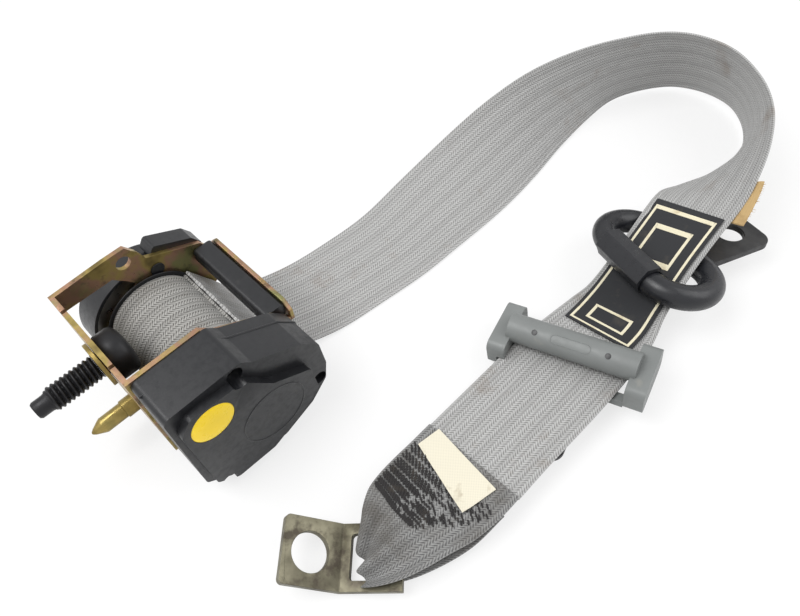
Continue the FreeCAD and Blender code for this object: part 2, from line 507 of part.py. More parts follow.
# centre x, y, height over the floor, heading of the upper edge, lean, width
STATIONS = [
    (49.5, 0, 37.2, 90, 0, WIDE), (57, 0, 24, 90, 0, WIDE), (64, 0, 12.5, 90, 0, WIDE), (74, 0, 4.5, 88, 0, WIDE),
    (90, -3, 1.6, 86, 0, WIDE), (112, -6, 1.4, 84, 0, WIDE), (138, -9, 2.6, 85, 3, WIDE),
    (165, -10, 6, 87, 12, WIDE), (193, -12, 11.5, 90, 27, WIDE), (221, -14, 17.8, 96, 46, WIDE),
    (247, -16, 22.2, 106, 64, WIDE), (270, -20, 24.4, 136, 76, WIDE), (291, -26, 25.5, 192, 77, WIDE),
    (308, -36, 26, 205, 74, WIDE), (320, -48, 26, 200, 70, WIDE), (325, -62, 26, 190, 68, WIDE),
    (324, -76, 26, 178, 68, WIDE), (317, -89, 25.5, 176, 71, WIDE), (306, -99, 25, 190, 76, WIDE),
    (291, -105, 25, 236, 74, WIDE), (274, -108, 25.5, 258, 61, WIDE), (254, -109.5, 26.5, 266, 42, WIDE),
    (232, -111, 26.4, 270, 14, d["loop_web"]), (180, -113, 14, 270, 14, d["loop_web"]),
    (168, -114, 12.4, 270, 7, WIDE - 3),
    (96, -114.5, 9.2, 270, 7, WIDE), (80, -114.5, 8.4, 270, 6, WIDE)]
feature("webbing_strap", ribbon(STATIONS, d["web_thick"]))
slope = math.degrees(math.atan2(12.4 - 9.2, 168 - 96))
LOOP_SLOPE = math.degrees(math.atan2(26.4 - 14, 232 - 180))


def strap_frame(x, y, up, slope_angle, lean, skew):
    """Placement on the strap at a place along it: local X along the strap, Z off its upper face."""
    return stand(x, y, up, (V(0, 1, 0), -slope_angle), (V(1, 0, 0), -lean), (V(0, 0, 1), skew))


# ---------------------------------------------------------------- pillar loop
LOOP_AT = strap_frame(204, -112, 14 + 24 * 12.4 / 52, LOOP_SLOPE, 14, -17)
BAR = d["loop_bar"]
TILT = math.atan2(d["loop_lift"], d["loop_half"])
REACH = math.hypot(d["loop_lift"], d["loop_half"])
SIDE = d["loop_straight"] / 2
bars = [Part.makeCylinder(BAR, 2 * SIDE, V(x, -SIDE, 0), V(0, 1, 0)) for x in (-REACH, REACH)]
turns = []
for end in (-1, 1):
    bend = Part.makeTorus(REACH, BAR, V(0, 0, 0), V(0, 0, 1), 0, 360, 180)
    turns.append(bend.rotated(V(0, 0, 0), V(0, 0, 1), 180 if end < 0 else 0).translated(V(0, end * SIDE, 0)))
ring = bars[0].multiFuse([bars[1]] + turns).removeSplitter()
ring.rotate(V(0, 0, 0), V(0, 1, 0), math.degrees(TILT))
feature("loop_body", ring, LOOP_AT)
NEAR_BAR = V(-d["loop_half"], 0, d["loop_lift"])
FAR_BAR = V(d["loop_half"], 0, -d["loop_lift"])
facets = [(NEAR_BAR.x + d["sleeve_radius"] * math.cos(math.radians(60 * k + 30)),
           NEAR_BAR.z + d["sleeve_lift"] + d["sleeve_radius"] * math.sin(math.radians(60 * k + 30)))
          for k in range(6)]
sleeve = upright(facets, -d["sleeve_length"] / 2, d["sleeve_length"] / 2, 1.2)
# The bore opens a little past the bar's straight, where the ring starts to bend.
BEND = d["loop_straight"] / 2 - 0.5
SLEEVE_ROOM = 0.1
BEND_ROOM = 0.35
bores = [disc(BAR + SLEEVE_ROOM, -30, 30, centre=NEAR_BAR)]
bores += [disc(BAR + BEND_ROOM, *sorted((side * BEND, side * 30)), centre=NEAR_BAR) for side in (-1, 1)]
feature("loop_sleeve", sleeve.cut(bores), LOOP_AT)
tab = slab((0, -d["tab_wide"] / 2, -d["tab_thick"] / 2), (d["tab_long"] + BAR, d["tab_wide"] / 2, d["tab_thick"] / 2))
tab = tab.makeFillet(6, [e for e in tab.Edges if e.BoundBox.XMin > d["tab_long"] and e.BoundBox.ZLength > 1
                         and e.BoundBox.YLength < 0.01])
TAB_HOLE_X = d["tab_long"] + BAR - 13
tab = tab.cut(Part.makeCylinder(d["tab_hole"], 9, V(TAB_HOLE_X, 0, -4)))
tab.rotate(V(0, 0, 0), V(0, 1, 0), 22)
tab.translate(FAR_BAR)
feature("loop_tab", tab.cut(disc(BAR + SEAT, -30, 30, centre=FAR_BAR)), LOOP_AT)

# ---------------------------------------------------------------- latch tongue
TONGUE_X = 143
TONGUE_SKEW = 17
TONGUE_AT = strap_frame(TONGUE_X, -114.2, 9.2 + (TONGUE_X - 96) * 3.2 / 72, slope, 7, TONGUE_SKEW)
SLOT = d["slot_width"] / 2
grip = Part.makeCylinder(d["grip_radius"], 2 * SLOT + 4, V(0, -SLOT - 2, d["grip_lift"]), V(0, 1, 0))
wings = []
for side in (-1, 1):
    low_y, high_y = sorted((side * SLOT, side * (SLOT + d["wing_wide"])))
    wing = slab((-d["wing_long"] / 2, low_y, -d["wing_low"]), (d["wing_long"] / 2, high_y, d["wing_top"]))
    wings.append(wing.makeFillet(3.5, [e for e in wing.Edges if abs(abs(
        e.tangentAt(e.FirstParameter).y) - 1) < 1e-6]))
passage = slab((-40, -WIDE / 2 - 0.5, -1.5), (40, WIDE / 2 + 0.5, 1.1)).rotated(V(0, 0, 0), V(0, 0, 1), -TONGUE_SKEW)
rails = [slab((x - d["rail_wide"] / 2, -SLOT, -d["rail_gap"] - d["rail_thick"]),
              (x + d["rail_wide"] / 2, SLOT, -d["rail_gap"])) for x in (-d["rail_x"], d["rail_x"])]
BLADE_Z = -d["rail_gap"] - d["rail_thick"] / 2
blade_core = slab((-d["rail_x"] - 1, -SLOT - 5, BLADE_Z - d["blade_thick"] / 2),
                  (-d["rail_x"] + 1, SLOT + 5, BLADE_Z + d["blade_thick"] / 2))
blade = slab((-d["rail_x"] - d["blade_long"], -d["blade_wide"] / 2, BLADE_Z - d["blade_thick"] / 2),
             (-d["rail_x"], d["blade_wide"] / 2, BLADE_Z + d["blade_thick"] / 2))
blade = blade.makeFillet(5, [e for e in blade.Edges if e.BoundBox.XMax < -d["rail_x"] - d["blade_long"] + 1
                             and e.BoundBox.YLength < 0.01])
LATCH_X = -d["rail_x"] - d["blade_long"] + 14
blade = blade.cut(slab((LATCH_X - d["latch_long"] / 2, -d["latch_wide"] / 2, BLADE_Z - 3),
                       (LATCH_X + d["latch_long"] / 2, d["latch_wide"] / 2, BLADE_Z + 3)))
tongue = blade.fuse(blade_core).removeSplitter()
feature("tongue_plate", tongue, TONGUE_AT)
grip_cover = grip.multiFuse(wings + rails).cut(tongue).cut(passage)
feature("tongue_grip", grip_cover.removeSplitter(), TONGUE_AT)

# ---------------------------------------------------------------- floor anchor and sewn end
ANCHOR_UP = 5.6
ANCHOR_AT = stand(34, -119, ANCHOR_UP, (V(0, 0, 1), 133.5), (V(0, 1, 0), 8))
LEAF = d["anchor_bar"] / 2 + d["anchor_window"] + d["anchor_side"]
HALF_WIDE, HALF_THICK = d["anchor_wide"] / 2, d["anchor_thick"] / 2
link = slab((-d["anchor_bar"] / 2, -HALF_WIDE, -HALF_THICK), (LEAF, HALF_WIDE, HALF_THICK))
window = slab((d["anchor_bar"] / 2, -HALF_WIDE + 4, -5), (d["anchor_bar"] / 2 + d["anchor_window"], HALF_WIDE - 4, 5))
window = window.makeFillet(1.5, [e for e in window.Edges if e.BoundBox.ZLength > 5])
leaf = slab((0, -HALF_WIDE, -HALF_THICK), (d["anchor_leaf"], HALF_WIDE, HALF_THICK))
leaf = leaf.makeFillet(2, [e for e in leaf.Edges if e.BoundBox.ZLength > 1 and e.BoundBox.XMin > 5
                           and e.BoundBox.YLength < 0.01])
leaf = leaf.cut(Part.makeCylinder(d["anchor_hole"], 10, V(d["anchor_leaf"] / 2 + 1, 0, -5)))
leaf.rotate(V(0, 0, 0), V(0, 1, 0), -d["anchor_bend"])
leaf.translate(V(LEAF, 0, 0))
knee = Part.makeCylinder(HALF_THICK, d["anchor_wide"], V(LEAF, -HALF_WIDE, 0), V(0, 1, 0))
feature("anchor_plate", link.cut(window).multiFuse([leaf, knee]).removeSplitter(), ANCHOR_AT)

EYE_WIDE = d["anchor_wide"] / 2 - 4 - 1.2
EYE_OUT = d["eye_inner"] + d["eye_thick"]
eye = Part.makeCylinder(EYE_OUT, 2 * EYE_WIDE, V(0, -EYE_WIDE, 0), V(0, 1, 0))
eye = eye.fuse(slab((-EYE_OUT - 5, -EYE_WIDE, -EYE_OUT), (0, EYE_WIDE, EYE_OUT)))
eye = eye.cut(Part.makeCylinder(d["eye_inner"], 2 * EYE_WIDE, V(0, -EYE_WIDE, 0), V(0, 1, 0)))
eye = eye.cut(slab((-4, -EYE_WIDE, -d["eye_inner"]), (0, EYE_WIDE, d["eye_inner"])))
feature("webbing_eye", eye.removeSplitter(), ANCHOR_AT)
ROOT = ANCHOR_AT.multVec(V(-EYE_OUT - 5.3, 0, 0))
FLARE = [(ROOT.x, ROOT.y, ROOT.z - FLOOR, 223.5, 0, 2 * EYE_WIDE), (48, -127.5, 7.2, 245, 0, 18),
         (54, -122, 7.3, 262, 2, 30), (61, -116, 7.6, 270, 6, 42), (80, -114.5, 8.4, 270, 6, WIDE)]
feature("sewn_end", ribbon(FLARE, [2 * EYE_OUT, 7.5, 5, d["end_thick"], d["end_thick"]]))
TRIM_GAP = 0.35
PATCH = [(229, -111.2, 25.7, 270, 14, 31), (181, -113, 14.25, 270, 14, 31), (169, -113.9, 12.6, 270, 7.6, 31)]
feature("strap_patch", ribbon(PATCH, d["patch_thick"], (d["web_thick"] + d["patch_thick"]) / 2 + TRIM_GAP))
LABEL = [(79, -114.5, 8.36, 270, 6, 36), (62, -114.9, 7.6, 270, 6, 36)]
feature("end_label", ribbon(LABEL, d["label_thick"], (d["end_thick"] + d["label_thick"]) / 2 + TRIM_GAP))
TAB = [(274, -108, 25.5, 258, 61, 30), (254, -109.5, 26.5, 266, 42, 30)]
feature("backing_tab", ribbon(TAB, 1.0, -(d["web_thick"] + 1.0) / 2 - 1.1, 12))

# ---------------------------------------------------------------- checks and files
NODES = [
    "retractor_frame", "front_tie_plate", "webbing_guide", "mounting_bolt", "bolt_washer", "locating_pin",
    "spool", "webbing_roll", "torsion_shaft", "near_bush", "far_bush", "ratchet_wheel", "locking_pawl",
    "pawl_pin", "lock_ring", "clutch_disc", "sensor_cup", "sensor_ball", "sensor_lever", "mechanism_cover",
    "side_mark", "cover_screws", "spring_case", "case_rivets", "spring_plate", "return_spring",
    "spring_arbor", "flange_plug", "webbing_strap", "strap_patch", "backing_tab", "sewn_end", "webbing_eye",
    "end_label", "loop_body", "loop_sleeve", "loop_tab", "tongue_plate", "tongue_grip", "anchor_plate"]
doc.recompute()
for made in doc.Objects:
    if "Invalid" in made.State or "Error" in made.State:
        raise RuntimeError("%s did not compute: %s" % (made.Label, made.State))
for node in NODES:
    found = doc.getObjectsByLabel(node)
    if len(found) != 1:
        raise RuntimeError("%s: %d objects carry this label" % (node, len(found)))
    shape = found[0].Shape
    if shape.isNull() or not shape.isValid() or shape.Volume <= 0:
        raise RuntimeError("%s has no valid solid" % node)
    print("%-18s %d solid, %.0f mm3" % (node, len(shape.Solids), shape.Volume))
    shape.exportStep("parts/%s.step" % node)
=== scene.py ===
"""Looks of a laid-out seat belt half: reel, webbing, pillar loop, latch tongue and floor anchor.

Lengths are in metres in the row frame. Each sub-assembly is a dataclass whose build() makes its
pieces, gives them their finish and ties them to the bodies of the moving model.
"""

from __future__ import annotations

import json
import logging
import math
import random
from dataclasses import dataclass, field
from enum import Enum
from typing import Callable, Sequence

import bmesh
import bpy
import numpy as np
from mathutils import Matrix, Vector

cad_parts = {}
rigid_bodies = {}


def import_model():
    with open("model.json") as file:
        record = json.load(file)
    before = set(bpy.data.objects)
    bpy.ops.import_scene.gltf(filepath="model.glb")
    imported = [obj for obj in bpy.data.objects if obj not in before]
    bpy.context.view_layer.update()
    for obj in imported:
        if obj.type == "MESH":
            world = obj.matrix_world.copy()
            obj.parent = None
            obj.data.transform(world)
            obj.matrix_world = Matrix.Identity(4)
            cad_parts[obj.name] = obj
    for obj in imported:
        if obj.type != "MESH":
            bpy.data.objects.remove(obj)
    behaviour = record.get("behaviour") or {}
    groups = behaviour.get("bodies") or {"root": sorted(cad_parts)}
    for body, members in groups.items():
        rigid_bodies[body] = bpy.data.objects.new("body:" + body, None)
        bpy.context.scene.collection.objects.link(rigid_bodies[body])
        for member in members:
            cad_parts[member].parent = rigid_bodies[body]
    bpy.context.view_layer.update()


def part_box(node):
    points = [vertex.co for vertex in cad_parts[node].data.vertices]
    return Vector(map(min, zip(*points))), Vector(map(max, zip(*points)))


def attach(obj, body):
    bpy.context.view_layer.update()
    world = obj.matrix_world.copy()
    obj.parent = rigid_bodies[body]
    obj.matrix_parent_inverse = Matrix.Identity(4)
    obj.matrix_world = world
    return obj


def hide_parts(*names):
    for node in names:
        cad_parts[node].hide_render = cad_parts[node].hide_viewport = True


LOG = logging.getLogger("belt")
MM = 0.001
FLOOR = -0.050
WEB_WIDE = 47.0 * MM
WEB_THICK = 1.2 * MM
SHARP = 32  # degrees between faces, above which an edge counts as sharp
WELD = 0.002 * MM
FLAT = 0.8  # degrees between faces that are made one
Colour = tuple[float, float, float]
Point = tuple[float, float, float]


class Side(Enum):
    """Which face of a strip a piece lies on."""

    UPPER = 1
    LOWER = -1


def linear(colour: Colour) -> tuple[float, float, float, float]:
    """Turns a screen colour into the linear one that shaders take.

    Args:
        colour: red, green and blue from 0 to 255.

    Returns:
        Linear red, green, blue and an alpha of 1.
    """
    parts = [c / 255 for c in colour]
    return (*[p / 12.92 if p <= 0.04045 else ((p + 0.055) / 1.055) ** 2.4 for p in parts], 1.0)


# ---------------------------------------------------------------- finishes
class Graph:
    """A material's node tree, with short ways of adding nodes."""

    def __init__(self, name: str) -> None:
        """Starts a material with one Principled shader.

        Args:
            name: the material's name.
        """
        self.material = bpy.data.materials.new(name)
        self.material.use_nodes = True
        self.nodes = self.material.node_tree.nodes
        self.links = self.material.node_tree.links
        self.shader = self.nodes["Principled BSDF"]

    def add(self, kind: str, **settings: object) -> bpy.types.Node:
        """Adds a node.

        Args:
            kind: the node's type name without its ShaderNode prefix.
            settings: properties to set; one starting in_ sets or links that input.

        Returns:
            The new node.
        """
        node = self.nodes.new("ShaderNode" + kind)
        for name, value in settings.items():
            if not name.startswith("in_"):
                setattr(node, name, value)
        for name, value in settings.items():
            if name.startswith("in_"):
                key = name[3:].replace("_", " ")
                self.feed(node.inputs[int(key) if key.isdigit() else key], value)
        return node

    def feed(self, socket: bpy.types.NodeSocket, value: object) -> None:
        """Links or sets an input.

        Args:
            socket: the input.
            value: an output socket to link, or a plain value.
        """
        if isinstance(value, bpy.types.NodeSocket):
            self.links.new(value, socket)
        else:
            socket.default_value = value

    def set(self, name: str, value: object) -> None:
        """Links or sets one of the shader's own inputs."""
        self.feed(self.shader.inputs[name], value)

    def math(self, operation: str, a: object, b: object = 0.0) -> bpy.types.NodeSocket:
        """Does one sum, by Blender's name for it, on one or two values or sockets."""
        return self.add("Math", operation=operation, in_0=a, in_1=b).outputs[0]

    def noise(self, scale: float, detail: float = 4, rough: float = 0.55) -> bpy.types.NodeSocket:
        """Gives a cloudy factor fixed to the piece, its scale in repeats per metre."""
        place = self.add("TexCoord").outputs["Object"]
        return self.add("TexNoise", in_Vector=place, in_Scale=scale, in_Detail=detail,
                        in_Roughness=rough).outputs[0]

    def ramp(self, factor: object, stops: Sequence[tuple[float, Colour]]) -> bpy.types.NodeSocket:
        """Colours along a factor.

        Args:
            factor: the factor's socket.
            stops: places from 0 to 1 and their screen colours.

        Returns:
            The colour's socket.
        """
        node = self.add("ValToRGB", in_Fac=factor)
        while len(node.color_ramp.elements) < len(stops):
            node.color_ramp.elements.new(0.5)
        for element, (place, colour) in zip(node.color_ramp.elements, stops):
            element.position = place
            element.color = linear(colour)
        return node.outputs[0]

    def spread(self, factor: object, low: float, high: float, to_low: float,
               to_high: float) -> bpy.types.NodeSocket:
        """Stretches a factor from low and high to to_low and to_high, held between them."""
        return self.add("MapRange", in_Value=factor, in_From_Min=low, in_From_Max=high,
                        in_To_Min=to_low, in_To_Max=to_high).outputs[0]

    def blend(self, factor: object, a: object, b: object) -> bpy.types.NodeSocket:
        """Mixes two colours.

        Args:
            factor: share of the second colour.
            a: first colour or socket.
            b: second colour or socket.

        Returns:
            The colour's socket.
        """
        node = self.add("Mix", data_type="RGBA")
        self.feed(node.inputs[0], factor)
        self.feed(node.inputs[6], a)
        self.feed(node.inputs[7], b)
        return node.outputs[2]

    def bump(self, height: object, depth: float, strength: float = 1.0) -> None:
        """Gives the shader a raised pattern, depth being a step's real height in metres."""
        node = self.add("Bump", in_Height=height, in_Distance=depth, in_Strength=strength)
        self.links.new(node.outputs[0], self.shader.inputs["Normal"])


@dataclass(frozen=True)
class Moulding:
    """Injection-moulded plastic with a fine grain, worn shiny in places and dusty in others."""

    name: str
    colour: Colour
    worn: Colour
    roughness: float = 0.42
    grain: float = 0.03 * MM
    grain_scale: float = 2600
    wear: float = 0.62

    def build(self) -> bpy.types.Material:
        """Makes the material.

        Returns:
            The material.
        """
        g = Graph(self.name)
        dust = g.noise(95, 6, 0.6)
        marks = g.noise(420, 3, 0.7)
        pale = tuple(c * 1.12 for c in self.colour)
        base = g.ramp(g.noise(38, 3), [(0.3, self.colour), (0.8, pale)])
        share = g.spread(dust, self.wear, self.wear + 0.16, 0, 0.55)
        g.set("Base Color", g.blend(share, base, linear(self.worn)))
        g.set("Roughness", g.spread(marks, 0.35, 0.7, self.roughness - 0.06, self.roughness + 0.12))
        g.set("Specular IOR Level", 0.45)
        g.bump(g.noise(self.grain_scale, 2), self.grain, 0.6)
        return g.material


@dataclass(frozen=True)
class Steel:
    """Bare or plated steel: a base colour, a second tone in clouds, stains and fine rolling marks."""

    name: str
    tones: tuple[tuple[float, Colour], ...]
    stain: Colour
    stain_from: float = 0.6
    metallic: float = 0.9
    roughness: float = 0.34
    cloud: float = 46
    pitting: float = 0.02 * MM

    def build(self) -> bpy.types.Material:
        """Makes the material.

        Returns:
            The material.
        """
        g = Graph(self.name)
        tone = g.ramp(g.noise(self.cloud, 3, 0.5), self.tones)
        dirt = g.noise(120, 6, 0.65)
        share = g.spread(dirt, self.stain_from, self.stain_from + 0.14, 0, 0.8)
        g.set("Base Color", g.blend(share, tone, linear(self.stain)))
        g.set("Metallic", g.spread(dirt, self.stain_from, self.stain_from + 0.2, self.metallic, 0.35))
        polish = g.noise(260, 5)
        g.set("Roughness", g.spread(polish, 0.3, 0.7, self.roughness - 0.08, self.roughness + 0.16))
        g.bump(g.noise(1500, 3), self.pitting, 0.5)
        return g.material


@dataclass(frozen=True)
class Weave:
    """Belt webbing: a fine herringbone between lengthwise ribs with painted shade in their troughs,
    tight selvedges and handling stains.

    The weave runs on the strip's own coordinates: U across it and V along it, both in metres.
    """

    name: str
    thread: Colour
    gap: Colour
    stain: Colour
    pitch: float = 1.25 * MM
    columns: float = 1.95 * MM
    depth: float = 0.16 * MM
    stain_from: float = 0.6
    ribs: int = 5

    def build(self) -> bpy.types.Material:
        """Makes the material.

        Returns:
            The material.
        """
        g = Graph(self.name)
        parts = g.add("SeparateXYZ", in_Vector=g.add("TexCoord").outputs["UV"])
        across, along = parts.outputs[0], parts.outputs[1]
        fold = g.math("PINGPONG", across, self.columns)
        phase = g.math("ADD", g.math("MULTIPLY", fold, 0.9), along)
        twill = g.math("SINE", g.math("MULTIPLY", phase, 2 * math.pi / self.pitch))
        rows = g.math("SINE", g.math("MULTIPLY", across, 2 * math.pi / self.columns))
        height = g.spread(g.math("ADD", twill, g.math("MULTIPLY", rows, 0.55)), -1.5, 1.5, 0, 1)
        rib = g.math("COSINE", g.math("MULTIPLY", across, 2 * math.pi * self.ribs / WEB_WIDE))
        fuzz = g.noise(1900, 2)
        shine = tuple(min(c * 1.1, 255) for c in self.thread)
        tone = g.ramp(g.math("ADD", height, g.spread(fuzz, 0.3, 0.7, -0.14, 0.14)),
                      [(0.1, self.gap), (0.6, self.thread), (1.0, shine)])
        # Painted shade: in the troughs between the raised ribs the colour is pulled up to 22% towards
        # the gap colour.
        shade = g.blend(g.spread(rib, -1, -0.3, 0.22, 0), tone, linear(self.gap))
        dirt = g.noise(34, 7, 0.68)
        share = g.spread(dirt, self.stain_from, self.stain_from + 0.2, 0, 0.62)
        g.set("Base Color", g.blend(share, shade, linear(self.stain)))
        g.set("Roughness", 0.62)
        g.set("Sheen Weight", 0.15)
        g.set("Specular IOR Level", 0.35)
        g.bump(height, self.depth, 0.8)
        return g.material


@dataclass(frozen=True)
class Cloth:
    """Plain woven label cloth or thread: a square mesh of fine threads, soiled in clouds."""

    name: str
    colour: Colour
    soil: Colour
    soil_from: float = 0.58
    threads: float = 1500

    def build(self) -> bpy.types.Material:
        """Makes the material.

        Returns:
            The material.
        """
        g = Graph(self.name)
        place = g.add("SeparateXYZ", in_Vector=g.add("TexCoord").outputs["Object"])
        a = g.math("SINE", g.math("MULTIPLY", place.outputs[0], self.threads * 2 * math.pi))
        b = g.math("SINE", g.math("MULTIPLY", place.outputs[1], self.threads * 2 * math.pi))
        height = g.spread(g.math("MULTIPLY", a, b), -1, 1, 0, 1)
        dull = tuple(c * 0.93 for c in self.colour)
        tone = g.ramp(height, [(0.0, dull), (0.7, self.colour)])
        share = g.spread(g.noise(130, 5), self.soil_from, self.soil_from + 0.2, 0, 0.7)
        g.set("Base Color", g.blend(share, tone, linear(self.soil)))
        g.set("Roughness", 0.8)
        g.bump(height, 0.05 * MM, 0.5)
        return g.material


Finish = Moulding | Steel | Weave | Cloth
ZINC = Steel("zinc_plate", ((0.32, (112, 98, 60)), (0.44, (158, 140, 84)), (0.54, (160, 124, 104)),
                            (0.66, (134, 132, 88))), (66, 58, 40), 0.55, 0.85, 0.34, 70)
PIN_ZINC = Steel("zinc_pin", ((0.3, (120, 104, 58)), (0.6, (152, 134, 80)), (0.8, (124, 116, 70))),
                 (74, 62, 38), 0.66, 0.85, 0.34, 120)
BLACK_STEEL = Steel("black_steel", ((0.3, (20, 20, 22)), (0.7, (36, 36, 38))),
                    (60, 55, 48), 0.68, 0.55, 0.42, 90)
BRIGHT = Steel("bright_steel", ((0.3, (150, 150, 148)), (0.7, (196, 196, 192))),
               (110, 92, 70), 0.68, 0.95, 0.3, 90)
DULL = Steel("dull_steel", ((0.3, (84, 80, 66)), (0.5, (118, 114, 96)), (0.7, (92, 86, 68))),
             (50, 40, 28), 0.5, 0.72, 0.4, 40, 0.05 * MM)
TAB_STEEL = Steel("tab_steel", ((0.3, (44, 44, 46)), (0.7, (70, 70, 70))),
                  (60, 54, 46), 0.62, 0.6, 0.42, 60)
BLACK = Moulding("black_moulding", (21, 22, 25), (62, 61, 59), 0.36, 0.03 * MM, 2600, 0.67)
RING = Moulding("ring_moulding", (25, 26, 30), (70, 69, 68), 0.32, 0.02 * MM, 1900, 0.7)
GREY = Moulding("grey_moulding", (117, 120, 119), (150, 148, 140), 0.45, 0.02 * MM, 2200, 0.62)
YELLOW = Moulding("yellow_disc", (240, 206, 26), (206, 176, 60), 0.3, 0.01 * MM, 1500, 0.7)
WEBBING = Weave("grey_webbing", (172, 172, 171), (124, 123, 122), (112, 92, 72), stain_from=0.57)
ROLL_WEB = Weave("wound_webbing", (156, 155, 152), (84, 83, 80), (84, 74, 60), stain_from=0.56)
END_WEB = Weave("end_webbing", (136, 136, 135), (82, 82, 82), (70, 64, 56), stain_from=0.46)
PATCH = Cloth("black_cloth", (36, 37, 40), (70, 66, 60))
CREAM = Cloth("cream_cloth", (232, 224, 196), (186, 166, 126))
BARE_LABEL = Cloth("label_cloth", (228, 222, 202), (150, 132, 100), 0.6, 1100)
TAN = Cloth("tan_cloth", (196, 166, 116), (150, 120, 78))
THREAD = Cloth("dark_thread", (38, 36, 36), (80, 72, 62))


class Shop:
    """Makes each finish once."""

    made: dict[str, bpy.types.Material] = {}

    @classmethod
    def material(cls, finish: Finish) -> bpy.types.Material:
        """The material of a finish.

        Args:
            finish: the finish wanted.

        Returns:
            Its material, made the first time.
        """
        if finish.name not in cls.made:
            cls.made[finish.name] = finish.build()
        return cls.made[finish.name]


# ---------------------------------------------------------------- ways of making a piece
@dataclass(frozen=True)
class Role:
    """A piece's finish, body and material slot, and the nodes that it stands for."""

    finish: Finish
    body: str
    slot: str
    nodes: tuple[str, ...] = ()

    def give(self, piece: bpy.types.Object) -> bpy.types.Object:
        """Finishes a piece and ties it to its body.

        Args:
            piece: the piece, in place.

        Returns:
            The same piece.
        """
        piece.data.materials.clear()
        piece.data.materials.append(Shop.material(self.finish))
        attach(piece, self.body)
        if self.nodes:
            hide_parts(*self.nodes)
        LOG.info("made %s on %s", piece.name, self.body)
        return piece


CASING = Role(BLACK, "retractor", "black_plastic")


def put(name: str, data: bpy.types.ID) -> bpy.types.Object:
    """Makes an object of some data and puts it in the scene.

    Args:
        name: the object's name.
        data: its mesh, lamp or camera.

    Returns:
        The object.
    """
    thing = bpy.data.objects.new(name, data)
    bpy.context.scene.collection.objects.link(thing)
    return thing


def to_object(name: str, points: Sequence[Sequence[float]], faces: Sequence[Sequence[int]],
              smooth: float | None = 40) -> bpy.types.Object:
    """Makes an object from points and faces.

    Args:
        name: the object's name.
        points: corner places in metres.
        faces: corner numbers of each face.
        smooth: edges flatter than this many degrees are shaded smooth; none for a faceted piece.

    Returns:
        The object, linked to the scene.
    """
    mesh = bpy.data.meshes.new(name)
    mesh.from_pydata([tuple(p) for p in points], [], [tuple(f) for f in faces])
    mesh.update()
    piece = put(name, mesh)
    if smooth is not None:
        mesh.shade_smooth()
        mesh.set_sharp_from_angle(angle=math.radians(smooth))
    return piece


def soften(piece: bpy.types.Object, width: float, segments: int = 3) -> bpy.types.Object:
    """Rounds a piece's sharp edges.

    Args:
        piece: the piece.
        width: the rounding's width in metres.
        segments: faces across the rounding.

    Returns:
        The same piece.
    """
    bevel = piece.modifiers.new("edges", "BEVEL")
    bevel.width = width
    bevel.segments = segments
    bevel.limit_method = "ANGLE"
    bevel.angle_limit = math.radians(SHARP)
    bevel.use_clamp_overlap = True
    bevel.harden_normals = True
    return piece


def machined(name: str, node: str, role: Role, width: float = 0.4 * MM,
             segments: int = 3) -> bpy.types.Object:
    """A worked piece with a fixed node's size and place, its faces joined and its edges rounded.

    Args:
        name: the new piece's name.
        node: the fixed node that it follows and stands for.
        role: its finish and place.
        width: the edge rounding in metres.
        segments: faces across the rounding.

    Returns:
        The piece.
    """
    mesh = bpy.data.objects[node].data.copy()
    mesh.name = name
    work = bmesh.new()
    work.from_mesh(mesh)
    bmesh.ops.remove_doubles(work, verts=work.verts, dist=WELD)
    bmesh.ops.dissolve_limit(work, angle_limit=math.radians(FLAT), verts=work.verts, edges=work.edges)
    work.to_mesh(mesh)
    work.free()
    piece = put(name, mesh)
    mesh.shade_smooth()
    mesh.set_sharp_from_angle(angle=math.radians(SHARP))
    if width > 0:
        soften(piece, width, segments)
    return Role(role.finish, role.body, role.slot, (node,)).give(piece)


def ring_faces(rings: int, around: int, closed: bool = False) -> list[tuple[int, ...]]:
    """Faces between neighbouring rings of points.

    Args:
        rings: number of rings.
        around: points in each ring.
        closed: whether the last ring meets the first.

    Returns:
        The faces, ring by ring.
    """
    return [(i * around + k, i * around + (k + 1) % around, (i + 1) % rings * around + (k + 1) % around,
             (i + 1) % rings * around + k)
            for i in range(rings if closed else rings - 1) for k in range(around)]


def end_faces(rings: int, around: int) -> list[tuple[int, ...]]:
    """The two faces that close the first and last of a run of rings."""
    return [tuple(reversed(range(around))), tuple((rings - 1) * around + k for k in range(around))]


def rim_faces(rows: int, columns: int, top: int) -> list[tuple[int, ...]]:
    """Faces round the edge of a sheet whose two sides are grids of points.

    Args:
        rows: faces along the sheet.
        columns: faces across it.
        top: number of the upper grid's first point.

    Returns:
        The faces.
    """
    size = columns + 1
    loop = list(range(size)) + [i * size + columns for i in range(1, rows + 1)]
    loop += [rows * size + k for k in reversed(range(columns))]
    loop += [i * size for i in reversed(range(1, rows))]
    return [(a, b, top + b, top + a) for a, b in zip(loop, loop[1:] + loop[:1])]


def lathe(name: str, profile: Sequence[tuple[float, float]], foot: Vector, axis: Vector,
          around: int = 64) -> bpy.types.Object:
    """Turns a profile about an axis.

    Args:
        name: the object's name.
        profile: pairs of distance along the axis and radius.
        foot: where the axis starts.
        axis: the axis's direction.
        around: faces round the piece.

    Returns:
        The closed object.
    """
    turn = axis.normalized().to_track_quat("Z", "Y")
    points = [foot + turn @ Vector((r * math.cos(a), r * math.sin(a), h))
              for h, r in profile for a in (2 * math.pi * k / around for k in range(around))]
    faces = ring_faces(len(profile), around) + end_faces(len(profile), around)
    return to_object(name, points, faces)


